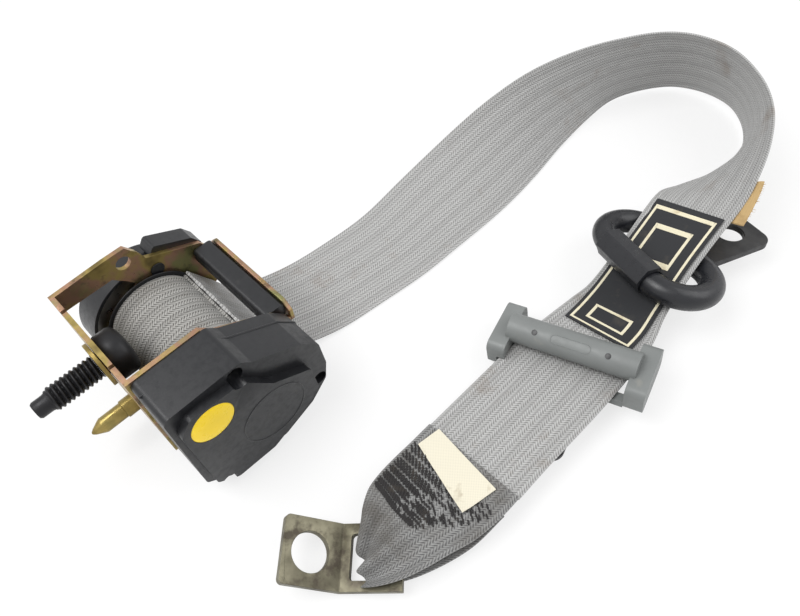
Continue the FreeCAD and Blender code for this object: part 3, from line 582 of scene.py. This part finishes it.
def tube(name: str, path: Sequence[Vector], section: Callable[[float, float], float], around: int = 28,
         closed: bool = True, up: Vector = Vector((0, 0, 1))) -> bpy.types.Object:
    """Sweeps a round-ish section along a path.

    Args:
        name: the object's name.
        path: points on the centreline.
        section: radius for a share of the way along and an angle from the up direction.
        around: faces round the section.
        closed: whether the path is a loop.
        up: direction that the section's zero angle faces.

    Returns:
        The object.
    """
    count = len(path)
    points: list[Vector] = []
    for i, middle in enumerate(path):
        ahead = path[(i + 1) % count] if closed or i + 1 < count else middle
        behind = path[i - 1] if closed or i > 0 else middle
        run = (ahead - behind).normalized()
        side = run.cross(up).normalized()
        rise = side.cross(run)
        for k in range(around):
            angle = 2 * math.pi * k / around
            reach = section(i / count, angle)
            points.append(middle + rise * (reach * math.cos(angle)) + side * (reach * math.sin(angle)))
    faces = ring_faces(count, around, closed)
    if not closed:
        faces += end_faces(count, around)
    piece = to_object(name, points, faces)
    fix_normals(piece)
    return piece


def fix_normals(piece: bpy.types.Object) -> None:
    """Turns every face of a closed piece outwards.

    Args:
        piece: the piece.
    """
    work = bmesh.new()
    work.from_mesh(piece.data)
    bmesh.ops.recalc_face_normals(work, faces=work.faces)
    work.to_mesh(piece.data)
    work.free()


def joined(name: str, parts: Sequence[bpy.types.Object]) -> bpy.types.Object:
    """Joins several meshes into one piece.

    Args:
        name: the joined piece's name.
        parts: the meshes, which are used up.

    Returns:
        The piece.
    """
    points: list[tuple[float, ...]] = []
    faces: list[tuple[int, ...]] = []
    for part in parts:
        first = len(points)
        points.extend(tuple(part.matrix_world @ v.co) for v in part.data.vertices)
        faces.extend(tuple(first + k for k in p.vertices) for p in part.data.polygons)
        bpy.data.objects.remove(part)
    return to_object(name, points, faces)


# ---------------------------------------------------------------- strips of webbing
@dataclass(frozen=True)
class Station:
    """One place on a strip, in mm over the floor and degrees: centre, way across, width and folds."""

    x: float
    y: float
    up: float
    heading: float
    lean: float
    wide: float = WEB_WIDE / MM
    folds: float = 0.0

    def centre(self) -> np.ndarray:
        """The centre in metres in the row frame."""
        return np.array([self.x * MM, self.y * MM, FLOOR + self.up * MM])

    def across(self) -> np.ndarray:
        """The unit vector from the strip's lower edge to its upper edge."""
        turn, tip = math.radians(self.heading), math.radians(self.lean)
        return np.array([math.cos(turn) * math.cos(tip), math.sin(turn) * math.cos(tip), math.sin(tip)])


@dataclass
class Strip:
    """A strip of cloth through stations, with ribs, folds where it is gathered and soft waves."""

    name: str
    stations: list[Station]
    thick: float = WEB_THICK
    lift: float = 0.0
    shift: float = 0.0
    rib: float = 0.14 * MM
    rib_count: int = 5
    wave: float = 0.0
    steps: int = 12
    columns: int = 60
    fold_count: float = 2.5
    edge_wave: float = 0.0
    length: float = field(default=0.0, init=False)
    centres: np.ndarray = field(default=None, init=False)
    sides: np.ndarray = field(default=None, init=False)
    normals: np.ndarray = field(default=None, init=False)
    widths: np.ndarray = field(default=None, init=False)
    gathers: np.ndarray = field(default=None, init=False)
    along: np.ndarray = field(default=None, init=False)

    def __post_init__(self) -> None:
        """Works out the smooth middle line, widths and normals."""
        rows = np.array([[*s.centre(), *s.across(), s.wide * MM, s.folds * MM]
                         for s in self.stations])
        gaps = np.linalg.norm(np.diff(rows[:, :3], axis=0), axis=1) ** 0.5
        knots = np.concatenate([[0], np.cumsum(gaps)])
        slopes = np.gradient(rows, knots, axis=0)
        parts = []
        for i in range(len(rows) - 1):
            gap = knots[i + 1] - knots[i]
            for k in range(self.steps + (1 if i == len(rows) - 2 else 0)):
                t = k / self.steps
                parts.append((2 * t**3 - 3 * t**2 + 1) * rows[i]
                             + (t**3 - 2 * t**2 + t) * gap * slopes[i]
                             + (3 * t**2 - 2 * t**3) * rows[i + 1]
                             + (t**3 - t**2) * gap * slopes[i + 1])
        grid = np.array(parts)
        self.centres = grid[:, :3]
        self.sides = grid[:, 3:6] / np.linalg.norm(grid[:, 3:6], axis=1)[:, None]
        run = np.gradient(self.centres, axis=0)
        normal = np.cross(run, self.sides)
        self.normals = normal / np.linalg.norm(normal, axis=1)[:, None]
        self.widths, self.gathers = grid[:, 6], grid[:, 7]
        pace = np.linalg.norm(np.diff(self.centres, axis=0), axis=1)
        self.along = np.concatenate([[0], np.cumsum(pace)])
        self.length = float(self.along[-1])

    def at(self, i: int, share: float, off: float = 0.0) -> np.ndarray:
        """A place on the strip.

        Args:
            i: row number along the strip.
            share: 0 at the lower edge, 1 at the upper edge.
            off: distance off the middle surface.

        Returns:
            The place in metres.
        """
        s = self.along[i]
        sway = self.wave * (math.sin(s * 61) + 0.6 * math.sin(s * 143 + 1.3)) * (0.35 + abs(share - 0.5))
        edge = self.edge_wave * math.sin(s * 260 + 3 * share) * (2 * abs(share - 0.5)) ** 3
        fold = self.gathers[i] * math.sin(2 * math.pi * self.fold_count * share + 9 * s)
        ribs = self.rib * math.cos(2 * math.pi * self.rib_count * share)
        raised = ribs if off > 0 else -ribs if off < 0 else 0
        rise = self.lift + off + sway + edge + fold + raised
        reach = (share - 0.5) * self.widths[i] + self.shift
        return self.centres[i] + self.sides[i] * reach + self.normals[i] * rise

    def build(self) -> bpy.types.Object:
        """Makes the closed strip with U across and V along it in metres.

        Returns:
            The object.
        """
        rows, columns = len(self.centres), self.columns
        shares = [k / columns for k in range(columns + 1)]
        thin = 0.45
        ring = [(s, face.value * (1.0 if 0 < s < 1 else thin))
                for face, way in ((Side.UPPER, shares), (Side.LOWER, shares[::-1])) for s in way]
        points = [self.at(i, s, side * self.thick / 2) for i in range(rows) for s, side in ring]
        size = len(ring)
        faces = ring_faces(rows, size) + end_faces(rows, size)
        piece = to_object(self.name, points, faces, 60)
        uv = piece.data.uv_layers.new(name="weave")
        for loop in piece.data.loops:
            i, k = divmod(loop.vertex_index, size)
            uv.data[loop.index].uv = (ring[k][0] * WEB_WIDE, self.along[i])
        fix_normals(piece)
        return piece


# ---------------------------------------------------------------- the reel
# Each inner piece's name, its node, finish, body and slot, and its edge rounding in mm.
INNER_WORKS = (
    ("reel_spool", "spool", BLACK, "spool_unit", "black_plastic", 0.2),
    ("shaft", "torsion_shaft", BLACK_STEEL, "spool_unit", "black_steel", 0.3),
    ("ratchet", "ratchet_wheel", BLACK_STEEL, "spool_unit", "black_steel", 0.15),
    ("clutch", "clutch_disc", GREY, "spool_unit", "black_plastic", 0.2),
    ("arbor", "spring_arbor", PIN_ZINC, "spool_unit", "zinc_frame", 0.2),
    ("bush_near", "near_bush", BLACK, "retractor", "black_plastic", 0.1),
    ("bush_far", "far_bush", BLACK, "retractor", "black_plastic", 0.1),
    ("pawl", "locking_pawl", BLACK_STEEL, "pawl", "black_steel", 0.25),
    ("pawl_stud", "pawl_pin", BLACK_STEEL, "retractor", "black_steel", 0.15),
    ("ring_lock", "lock_ring", GREY, "lock_ring_unit", "black_plastic", 0.2),
    ("cup", "sensor_cup", GREY, "retractor", "black_plastic", 0.2),
    ("ball", "sensor_ball", BRIGHT, "ball", "screw_steel", 0.0),
    ("lever", "sensor_lever", GREY, "lever", "black_plastic", 0.2),
    ("plate_spring", "spring_plate", BRIGHT, "retractor", "screw_steel", 0.1),
    ("coil_spring", "return_spring", BRIGHT, "retractor", "screw_steel", 0.0),
    ("plug", "flange_plug", BLACK, "retractor", "black_plastic", 0.2))


@dataclass
class Reel:
    """Steel frame with its bolt and pin, the wound spool, the locking cover and the spring case."""

    spool: Vector = Vector((0.030, 0, -0.024))
    turns: int = 5
    roll_core: float = 14.6 * MM
    thread_pitch: float = 1.9 * MM

    def build(self) -> None:
        """Makes every piece of the reel."""
        self.frame()
        self.bolt()
        self.inner_works()
        self.roll()
        self.cover()
        self.case()

    def frame(self) -> None:
        """Makes the plated frame, tie plate, guide bar and locating pin."""
        zinc = Role(ZINC, "retractor", "zinc_frame")
        machined("frame", "retractor_frame", zinc, 0.5 * MM)
        machined("tie", "front_tie_plate", zinc, 0.5 * MM)
        machined("guide", "webbing_guide", CASING, 0.3 * MM)
        low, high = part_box("locating_pin")
        middle = (low + high) / 2
        reach = high.x - low.x
        radius = (high.z - low.z) / 2
        profile = [(0, radius * 0.9), (0.3 * MM, radius), (7 * MM, radius), (7.2 * MM, radius * 0.86),
                   (reach - 5.4 * MM, radius * 0.86), (reach - 4.6 * MM, radius * 0.78),
                   (reach - 1.2 * MM, radius * 0.34), (reach - 0.3 * MM, radius * 0.16),
                   (reach, radius * 0.05)]
        pin = lathe("pin", profile, Vector((high.x, middle.y, middle.z)), Vector((-1, 0, 0)), 40)
        Role(PIN_ZINC, "retractor", "zinc_frame", ("locating_pin",)).give(pin)

    def bolt(self) -> None:
        """Makes the coarse-threaded bolt with its dog point and round head, and its washer."""
        low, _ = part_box("mounting_bolt")
        start, end = -2.2 * MM, low.x + 6 * MM
        around, rows = 56, 132
        root, crest = 4.15 * MM, 0.83 * MM
        points: list[Vector] = []
        for i in range(rows + 1):
            along = start + (end - start) * i / rows
            for k in range(around):
                turn = 2 * math.pi * k / around
                phase = (along / self.thread_pitch + k / around) % 1.0
                ridge = 1 - abs(2 * phase - 1)
                fade = min(1.0, (rows - i) / 8)
                reach = root + crest * min(ridge * 1.3, 1.0) * fade
                points.append(Vector((along, reach * math.cos(turn), reach * math.sin(turn))))
        ends = [tuple(range(around)), tuple(rows * around + k for k in reversed(range(around)))]
        thread = to_object("thread", points, ring_faces(rows + 1, around) + ends, 50)
        point = [(0, 3.9 * MM), (1 * MM, 3.6 * MM), (5.2 * MM, 3.55 * MM), (6 * MM, 3.0 * MM)]
        dog = lathe("dog", point, Vector((end, 0, 0)), Vector((-1, 0, 0)), 40)
        neck = 2.1 * MM
        outline = [(2.0, 4.95), (2.2, 9.6), (2.9, 10), (8.4, 10), (10.0, 9.2), (11.0, 7.4), (11.5, 4.4),
                   (11.5, 4.2), (9.6, 4.0), (9.6, 0.2)]
        head_profile = [(0, 4.95 * MM)] + [(h * MM + neck, radius * MM) for h, radius in outline]
        head = lathe("head", head_profile, Vector((-2.15 * MM, 0, 0)), Vector((1, 0, 0)), 60)
        piece = joined("bolt", [thread, dog, head])
        fix_normals(piece)
        Role(BLACK_STEEL, "bolt", "black_steel", ("mounting_bolt",)).give(piece)
        machined("washer", "bolt_washer", Role(PIN_ZINC, "bolt", "zinc_frame"), 0.25 * MM)

    def inner_works(self) -> None:
        """Makes the spool, shaft, bushes and the locking and spring parts behind the covers."""
        for name, node, finish, body, slot, width in INNER_WORKS:
            machined(name, node, Role(finish, body, slot), width * MM)

    def roll(self) -> None:
        """Makes the webbing wound on the spool as one spiral strip."""
        low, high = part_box("webbing_roll")
        outer = (high.z - low.z) / 2 - WEB_THICK / 2 - 0.1 * MM
        per_turn, start = 48, math.radians(30)
        count = self.turns * per_turn
        stations = []
        for k in range(count + 1):
            turn = start + 2 * math.pi * k / per_turn
            reach = (outer - (outer - self.roll_core) * (1 - k / count)) / MM
            stations.append(Station(self.spool.x / MM + reach * math.cos(turn), 0,
                                    (self.spool.z - FLOOR) / MM + reach * math.sin(turn), 90, 0,
                                    (high.y - low.y) / MM - 0.2))
        strip = Strip("wound_webbing", stations, thick=1.15 * MM, steps=2, columns=44,
                      rib=0.12 * MM)
        piece = strip.build()
        Role(ROLL_WEB, "spool_unit", "grey_webbing", ("webbing_roll",)).give(piece)

    def cover(self) -> None:
        """Makes the locking cover with its raised parts, its disc and its screws."""
        machined("lock_cover", "mechanism_cover", CASING, 1.1 * MM, 4)
        low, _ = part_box("mechanism_cover")
        rim = [self.ridge("cover_boss", 36, -22, 14.6, 13.8, low.y + 0.4 * MM, 0.6 * MM)]
        piece = joined("cover_rings", rim)
        fix_normals(piece)
        CASING.give(soften(piece, 0.25 * MM, 2))
        self.lip()
        disc_low, disc_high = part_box("side_mark")
        middle = (disc_low + disc_high) / 2
        radius = (disc_high.x - disc_low.x) / 2
        thick = disc_high.y - disc_low.y
        profile = [(0, radius - 0.2 * MM), (thick - 0.3 * MM, radius),
                   (thick - 0.05 * MM, radius - 0.25 * MM), (thick, radius - 0.7 * MM),
                   (thick, radius * 0.5), (thick, radius * 0.02)]
        foot = Vector((middle.x, disc_high.y, middle.z))
        mark = lathe("mark", profile, foot, Vector((0, -1, 0)), 72)
        Role(YELLOW, "retractor", "yellow_plastic", ("side_mark",)).give(mark)
        machined("screws", "cover_screws", Role(BRIGHT, "retractor", "screw_steel"), 0.15 * MM)

    def ridge(self, name: str, x: float, z: float, outer: float, inner: float, y: float,
              height: float) -> bpy.types.Object:
        """A raised ring on the cover's face.

        Args:
            name: the object's name.
            x: centre in mm.
            z: centre in mm.
            outer: outer radius in mm.
            inner: inner radius in mm.
            y: where its foot is, in metres.
            height: how far it stands out, in metres.

        Returns:
            The ring.
        """
        around = 72
        rings = [(inner, y), (outer, y), (outer, y - height), (inner, y - height)]
        points = [Vector((x * MM + r * MM * math.cos(2 * math.pi * k / around), h,
                          z * MM + r * MM * math.sin(2 * math.pi * k / around)))
                  for r, h in rings for k in range(around)]
        faces = [(i * around + k, (i + 1) % 4 * around + k, (i + 1) % 4 * around + (k + 1) % around,
                  i * around + (k + 1) % around) for i in range(4) for k in range(around)]
        return to_object(name, points, faces)

    def lip(self) -> None:
        """Makes the lip that runs round the cover's outer edge, just off the frame."""
        _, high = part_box("mechanism_cover")
        outline = [(1.2, 14.8), (32.5, 14.8), (37, 10.8), (57, -1.2), (63.8, -9), (64.8, -24),
                   (62.8, -34), (53.8, -42.8)]
        level, cuts = high.y - 6.2 * MM, 6
        path: list[Vector] = []
        for (x0, z0), (x1, z1) in zip(outline, outline[1:]):
            for k in range(cuts):
                path.append(Vector(((x0 + (x1 - x0) * k / cuts) * MM, level,
                                    (z0 + (z1 - z0) * k / cuts) * MM)))
        piece = tube("cover_lip", path, lambda s, a: 0.55 * MM, 12, False, Vector((0, 1, 0)))
        CASING.give(piece)

    def case(self) -> None:
        """Makes the spring case and the rivets that hold it."""
        machined("case", "spring_case", CASING, 0.5 * MM)
        machined("rivets", "case_rivets", Role(BLACK_STEEL, "retractor", "zinc_frame"), 0.3 * MM)


# ---------------------------------------------------------------- the webbing and what is sewn to it
ROUTE = [
    Station(49.5, 0, 37.2, 90, 0), Station(57, 0, 24, 90, 0), Station(64, 0, 12.5, 90, 0),
    Station(74, 0, 4.5, 88, 0), Station(90, -3, 1.6, 86, 0), Station(112, -6, 1.4, 84, 0),
    Station(138, -9, 2.6, 85, 3), Station(165, -10, 6, 87, 12), Station(193, -12, 11.5, 90, 27),
    Station(221, -14, 17.8, 96, 46), Station(247, -16, 22.2, 106, 64),
    Station(270, -20, 24.4, 136, 76), Station(291, -26, 25.5, 192, 77),
    Station(308, -36, 26, 205, 74), Station(320, -48, 26, 200, 70), Station(325, -62, 26, 190, 68),
    Station(324, -76, 26, 178, 68), Station(317, -89, 25.5, 176, 71),
    Station(306, -99, 25, 190, 76), Station(291, -105, 25, 236, 74),
    Station(274, -107.5, 25.5, 258, 61), Station(254, -108.6, 26.5, 267, 42, 44),
    Station(232, -109.6, 26.4, 272, 14, 37), Station(206, -111.6, 20.2, 274, 14, 35.5),
    Station(180, -114.2, 14, 274, 13, 37), Station(168, -115.2, 12.4, 273, 8, 41),
    Station(150, -115.2, 11.5, 272, 7, 45), Station(132, -114.9, 10.8, 271, 7, 47),
    Station(96, -114.5, 9.2, 270, 7), Station(80, -114.5, 8.4, 270, 6)]


@dataclass
class Belt:
    """The laid-out webbing with its patch, tab, sewn end and label."""

    seed: int = 7

    def build(self) -> None:
        """Makes every piece of the webbing."""
        self.strap()
        self.patch()
        self.tab()
        self.sewn_end()
        self.label()

    def strap(self) -> None:
        """Makes the strap from the reel round to the sewn end."""
        strip = Strip("strap", ROUTE, wave=0.12 * MM, steps=14, columns=64)
        piece = strip.build()
        Role(WEBBING, "retractor", "grey_webbing", ("webbing_strap",)).give(piece)

    def patch(self) -> None:
        """Makes the black woven patch on the strap, its cream border and its plain cream figures."""
        run = [Station(231, -109.7, 26.55, 272, 14, 32), Station(206, -111.6, 20.45, 274, 14, 31),
               Station(180, -114.2, 14.2, 274, 13, 31.5), Station(168, -115.2, 12.45, 273, 8, 32),
               Station(158, -115.2, 11.95, 272.6, 7.5, 32)]
        lift = (WEB_THICK + 0.5 * MM) / 2 + 0.35 * MM
        base = Strip("patch", run, thick=0.5 * MM, lift=lift, rib=0.0, steps=10, columns=24)
        cloth = base.build()
        Role(PATCH, "retractor", "black_fabric", ("strap_patch",)).give(cloth)
        bands = [(0.03, 0.97, 0.05, 0.085), (0.03, 0.97, 0.915, 0.95), (0.03, 0.05, 0.07, 0.93),
                 (0.95, 0.97, 0.07, 0.93)]
        line = 0.025
        for first in (0.12, 0.68):
            last = first + 0.2
            bands += [(first, last, 0.22, 0.26), (first, last, 0.74, 0.78),
                      (first, first + line, 0.24, 0.76), (last - line, last, 0.24, 0.76)]
        piece = joined("patch_figures", [self.band(base, *place) for place in bands])
        Role(CREAM, "retractor", "label_fabric").give(piece)

    def band(self, strip: Strip, start: float, end: float, low: float,
             high: float) -> bpy.types.Object:
        """A thin raised band of thread on a strip.

        Args:
            strip: the strip that it is sewn on.
            start: where it starts along the strip, from 0 to 1.
            end: where it ends along the strip.
            low: its lower edge across the strip, from 0 to 1.
            high: its upper edge across the strip.

        Returns:
            The band.
        """
        rows, columns = max(2, int((end - start) * 40)), max(2, int((high - low) * 20))
        last = len(strip.centres) - 1
        points: list[np.ndarray] = []
        for level in (strip.thick / 2 - 0.05 * MM, strip.thick / 2 + 0.12 * MM):
            for i in range(rows + 1):
                place = (start + (end - start) * i / rows) * last
                near = min(int(place), last - 1)
                part = place - near
                for k in range(columns + 1):
                    share = low + (high - low) * k / columns
                    points.append(strip.at(near, share, level) * (1 - part)
                                  + strip.at(near + 1, share, level) * part)
        size = columns + 1
        top = (rows + 1) * size
        starts = [top + i * size + k for i in range(rows) for k in range(columns)]
        faces = [(a, a + 1, a + size + 1, a + size) for a in starts]
        return to_object("band", points, faces + rim_faces(rows, columns, top))

    def tab(self) -> None:
        """Makes the frayed tan tab behind the strap."""
        run = [Station(253, -108.7, 26.5, 267, 41, 26), Station(243, -109.1, 26.6, 269, 29, 25),
               Station(233, -109.6, 26.4, 272, 15, 24)]
        strip = Strip("tab", run, thick=0.7 * MM, lift=Side.LOWER.value * (WEB_THICK / 2 + 0.9 * MM),
                      shift=11.5 * MM, rib=0.0, steps=14, columns=20, edge_wave=0.3 * MM)
        piece = strip.build()
        Role(TAN, "retractor", "tan_fabric", ("backing_tab",)).give(piece)
        self.fray(strip)

    def fray(self, strip: Strip) -> None:
        """Makes the loose threads at the tab's upper edge.

        Args:
            strip: the tab's strip.
        """
        rng = random.Random(self.seed)
        threads = []
        for k in range(34):
            row = rng.randrange(2, len(strip.centres) - 2)
            foot = Vector(strip.at(row, 0.97))
            out = Vector(strip.sides[row]) + Vector([rng.uniform(-0.35, 0.35) for _ in range(3)])
            reach = rng.uniform(0.8, 2.2) * MM
            path = [foot + out * (reach * t / 3)
                    + Vector((0, 0, 0.25 * MM * rng.uniform(-1, 1) * t / 3)) for t in range(4)]
            threads.append(tube(f"thread_{k}", path, lambda s, a: 0.11 * MM * (1.15 - s), 6, False))
        Role(TAN, "retractor", "tan_fabric").give(joined("tab_fray", threads))

    def sewn_end(self) -> None:
        """Makes the doubled end gathered into the anchor plate's window, and its stitching."""
        over = [Station(80, -114.5, 9.6, 270, 6), Station(70, -114.6, 9.5, 270, 5, 46.5, 0.1),
                Station(58, -114, 9.8, 269, 3, 44.5, 0.3), Station(48, -113, 10.6, 267, 0, 40, 0.8),
                Station(40, -112.6, 11.2, 262, 0, 36, 1.4), Station(32, -112.8, 11.2, 254, 0, 29, 2.0),
                Station(25.5, -113, 9.6, 242, 0, 20, 2.3), Station(22.2, -112.6, 6.4, 232, 0, 14, 1.6),
                Station(23.4, -112.6, 3.2, 228, 0, 13, 1.1), Station(29, -114.2, 2.0, 236, 0, 18, 0.6),
                Station(40, -114.4, 2.3, 258, 0, 31, 0.4), Station(56, -114.2, 4.6, 268, 2, 44, 0.2),
                Station(72, -114.6, 6.6, 270, 5, 46.5, 0.1)]
        strip = Strip("end_fold", over, thick=1.2 * MM, steps=12, columns=72, fold_count=2.0,
                      wave=0.3 * MM)
        piece = strip.build()
        Role(END_WEB, "retractor", "grey_webbing", ("sewn_end", "webbing_eye")).give(piece)
        self.stitches(strip)

    def stitches(self, strip: Strip) -> None:
        """Makes the dense rows of dark thread across the doubled end.

        Args:
            strip: the doubled end's strip.
        """
        parts = []
        rows = [i for i in range(len(strip.centres)) if 0.010 < strip.along[i] < 0.038]
        lines, across = 24, 22
        rng = random.Random(self.seed)
        for n in range(lines):
            i = rows[int(n * (len(rows) - 2) / lines)]
            reach = 0.55 + 0.4 * (1 - n / lines)
            for k in range(across):
                share = 0.04 + reach * (k + 0.5 * (n % 2)) / across
                if k > across * 0.45 and rng.random() < 0.35:
                    continue
                start = Vector(strip.at(i, share - 0.015, strip.thick / 2))
                end = Vector(strip.at(i + 1, share + 0.02, strip.thick / 2))
                lift = Vector(strip.normals[i]) * 0.28 * MM
                path = [start, start * 0.75 + end * 0.25 + lift, start * 0.25 + end * 0.75 + lift, end]
                parts.append(tube(f"stitch_{n}_{k}", path, lambda s, a: 0.36 * MM, 6, False))
        Role(THREAD, "retractor", "black_fabric").give(joined("stitching", parts))

    def label(self) -> None:
        """Makes the bare cream label on the sewn end, a little skewed and lifting at one corner."""
        corners = [(80.5, -96), (70, -94.5), (61, -126.5), (76.5, -129.5)]
        rows, columns = 22, 14
        slope = math.tan(math.radians(5.2))
        points = []
        for level in (0.0, 0.28 * MM):
            for i in range(rows + 1):
                t = i / rows
                for k in range(columns + 1):
                    s = k / columns
                    x, y = ((corners[0][n] * (1 - s) + corners[1][n] * s) * (1 - t)
                            + (corners[3][n] * (1 - s) + corners[2][n] * s) * t for n in (0, 1))
                    curl = 0.9 * max(0, s * t - 0.72) * 4
                    up = 9.75 - slope * (y + 114.5) + 1.2 + curl
                    ripple = 0.12 * math.sin(9 * t + 3 * s)
                    points.append((x * MM, y * MM, FLOOR + (up + ripple) * MM + level))
        size, top = columns + 1, (rows + 1) * (columns + 1)
        faces = []
        for a in (i * size + k for i in range(rows) for k in range(columns)):
            b = top + a
            faces += [(a, a + 1, a + size + 1, a + size), (b, b + size, b + size + 1, b + 1)]
        piece = to_object("label", points, faces + rim_faces(rows, columns, top))
        fix_normals(piece)
        Role(BARE_LABEL, "retractor", "label_fabric", ("end_label",)).give(piece)


# ---------------------------------------------------------------- ring, tongue and anchor
@dataclass
class Fittings:
    """The pillar loop, the latch tongue and the floor anchor."""

    def build(self) -> None:
        """Makes every fitting."""
        ring = Role(RING, "pillar_loop", "ring_plastic")
        machined("ring", "loop_body", ring, 0.0)
        machined("sleeve", "loop_sleeve", ring, 1.0 * MM, 4)
        machined("ring_tab", "loop_tab", Role(TAB_STEEL, "pillar_loop", "grey_steel"), 0.4 * MM)
        machined("grip", "tongue_grip", Role(GREY, "tongue", "grey_plastic"), 1.5 * MM, 4)
        self.grip_details()
        machined("blade", "tongue_plate", Role(BLACK_STEEL, "tongue", "dull_steel"), 0.4 * MM)
        machined("anchor", "anchor_plate", Role(DULL, "anchor", "dull_steel"), 0.4 * MM)

    def grip_details(self) -> None:
        """Makes the two small sink holes, as black discs of painted shade, and the long low panel on the
        tongue's bar.
        """
        place = Matrix(((0.95694, -0.28691, -0.04407, 0.1430),
                        (0.29019, 0.94918, 0.12187, -0.1142),
                        (0.00686, -0.12941, 0.99157, -0.03871), (0, 0, 0, 1)))
        bar, height, lean = 6.2 * MM, 7.4 * MM, math.radians(-28)
        out = Vector((math.sin(lean), 0, math.cos(lean)))
        # Painted shade: the sink holes are black discs set almost flush with the grey grip, giving the
        # dark of their inside as colour.
        holes = []
        for y in (-15.5 * MM, 15.5 * MM):
            foot = Vector((0, y, height)) + out * (bar - 0.25 * MM)
            holes.append(lathe("hole", [(0, 1.25 * MM), (0.3 * MM, 1.25 * MM), (0.33 * MM, 1.1 * MM)],
                               place @ foot, place.to_3x3() @ out, 24))
        Role(BLACK, "tongue", "black_plastic").give(joined("grip_hole_shade", holes))
        loop = []
        half, wide = 6.5 * MM, 1.9 * MM
        for k in range(48):
            turn = 2 * math.pi * k / 48
            along = math.copysign(half, math.sin(turn)) + wide * math.sin(turn)
            angle = lean + wide * math.cos(turn) / bar
            loop.append(place @ Vector((bar * math.sin(angle), along, height + bar * math.cos(angle))))
        piece = tube("grip_panel", loop, lambda s, a: 0.2 * MM, 8, True, place.to_3x3() @ out)
        Role(GREY, "tongue", "grey_plastic").give(piece)


@dataclass(frozen=True)
class Studio:
    """Camera, pale floor and plain soft light."""

    place: Point = (-0.0033, -0.1809, 0.2209)
    azimuth: float = -39.6
    elevation: float = 55.5
    roll: float = -6.1
    lens: float = 31.56

    def camera(self) -> None:
        """Makes the camera, above the sewn end and looking across the belt."""
        data = bpy.data.cameras.new("camera")
        data.lens = self.lens
        data.sensor_width = 36
        data.clip_start = 0.01
        data.clip_end = 20
        camera = put("camera", data)
        a, e, r = math.radians(self.azimuth), math.radians(self.elevation), math.radians(self.roll)
        back = Vector((math.sin(a) * math.cos(e), -math.cos(a) * math.cos(e), math.sin(e)))
        right = (-back).cross(Vector((0, 0, 1))).normalized()
        up = right.cross(-back)
        right, up = right * math.cos(r) + up * math.sin(r), up * math.cos(r) - right * math.sin(r)
        turn = Matrix((right, up, back)).transposed().to_4x4()
        camera.matrix_world = Matrix.Translation(Vector(self.place)) @ turn
        bpy.context.scene.camera = camera

    def light(self) -> None:
        """Makes the lamps and the world's even light."""
        bpy.context.scene.view_settings.view_transform = "Standard"
        world = bpy.data.worlds.new("world")
        bpy.context.scene.world = world
        world.use_nodes = True
        nodes, links = world.node_tree.nodes, world.node_tree.links
        background = nodes["Background"]
        path, seen, glossy, level = [nodes.new("ShaderNode" + kind)
                                     for kind in ("LightPath", "Math", "Math", "MapRange")]
        seen.operation = glossy.operation = "MAXIMUM"
        links.new(path.outputs["Is Camera Ray"], seen.inputs[0])
        links.new(path.outputs["Is Glossy Ray"], glossy.inputs[0])
        links.new(path.outputs["Is Transmission Ray"], glossy.inputs[1])
        links.new(glossy.outputs[0], seen.inputs[1])
        level.inputs["To Min"].default_value = 0.55
        level.inputs["To Max"].default_value = 1.0
        links.new(seen.outputs[0], level.inputs["Value"])
        links.new(level.outputs[0], background.inputs["Strength"])
        background.inputs["Color"].default_value = (1, 1, 1, 1)
        lamps = (("key", (-0.25, 0.15, 0.75), 0.5, 5.5), ("fill", (0.6, -0.5, 0.6), 0.7, 3.0))
        for name, place, size, power in lamps:
            lamp = bpy.data.lights.new(name, "AREA")
            lamp.energy = power
            lamp.size = size
            piece = put(name, lamp)
            piece.location = place
            aim = Vector((0.16, -0.06, -0.04)) - Vector(place)
            piece.rotation_euler = aim.to_track_quat("-Z", "Y").to_euler()

    def floor(self) -> None:
        """Makes the pale floor that the belt lies on."""
        reach = 3.0
        points = [(x * reach, y * reach, FLOOR - 0.05 * MM)
                  for x, y in ((-1, -1), (1, -1), (1, 1), (-1, 1))]
        piece = to_object("floor", points, [(0, 1, 2, 3)], None)
        g = Graph("floor")
        g.set("Base Color", (0.92, 0.92, 0.92, 1))
        g.set("Roughness", 0.9)
        seen = g.add("LightPath")
        glow = g.add("Emission", in_Color=(1, 1, 1, 1), in_Strength=1.0)
        mix = g.add("MixShader")
        g.links.new(g.math("MULTIPLY", seen.outputs["Is Camera Ray"], 0.72), mix.inputs[0])
        g.links.new(g.shader.outputs[0], mix.inputs[1])
        g.links.new(glow.outputs[0], mix.inputs[2])
        g.links.new(mix.outputs[0], g.nodes["Material Output"].inputs["Surface"])
        piece.data.materials.append(g.material)


def main() -> None:
    """Builds the studio and the sub-assemblies."""
    logging.basicConfig(level=logging.INFO, format="%(message)s")
    for thing in list(bpy.data.objects):
        bpy.data.objects.remove(thing)
    studio = Studio()
    studio.camera()
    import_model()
    studio.light()
    studio.floor()
    for part in (Reel(), Belt(), Fittings()):
        LOG.info("building %s", type(part).__name__)
        part.build()
    bpy.context.view_layer.update()


if __name__ == "__main__":
    main()
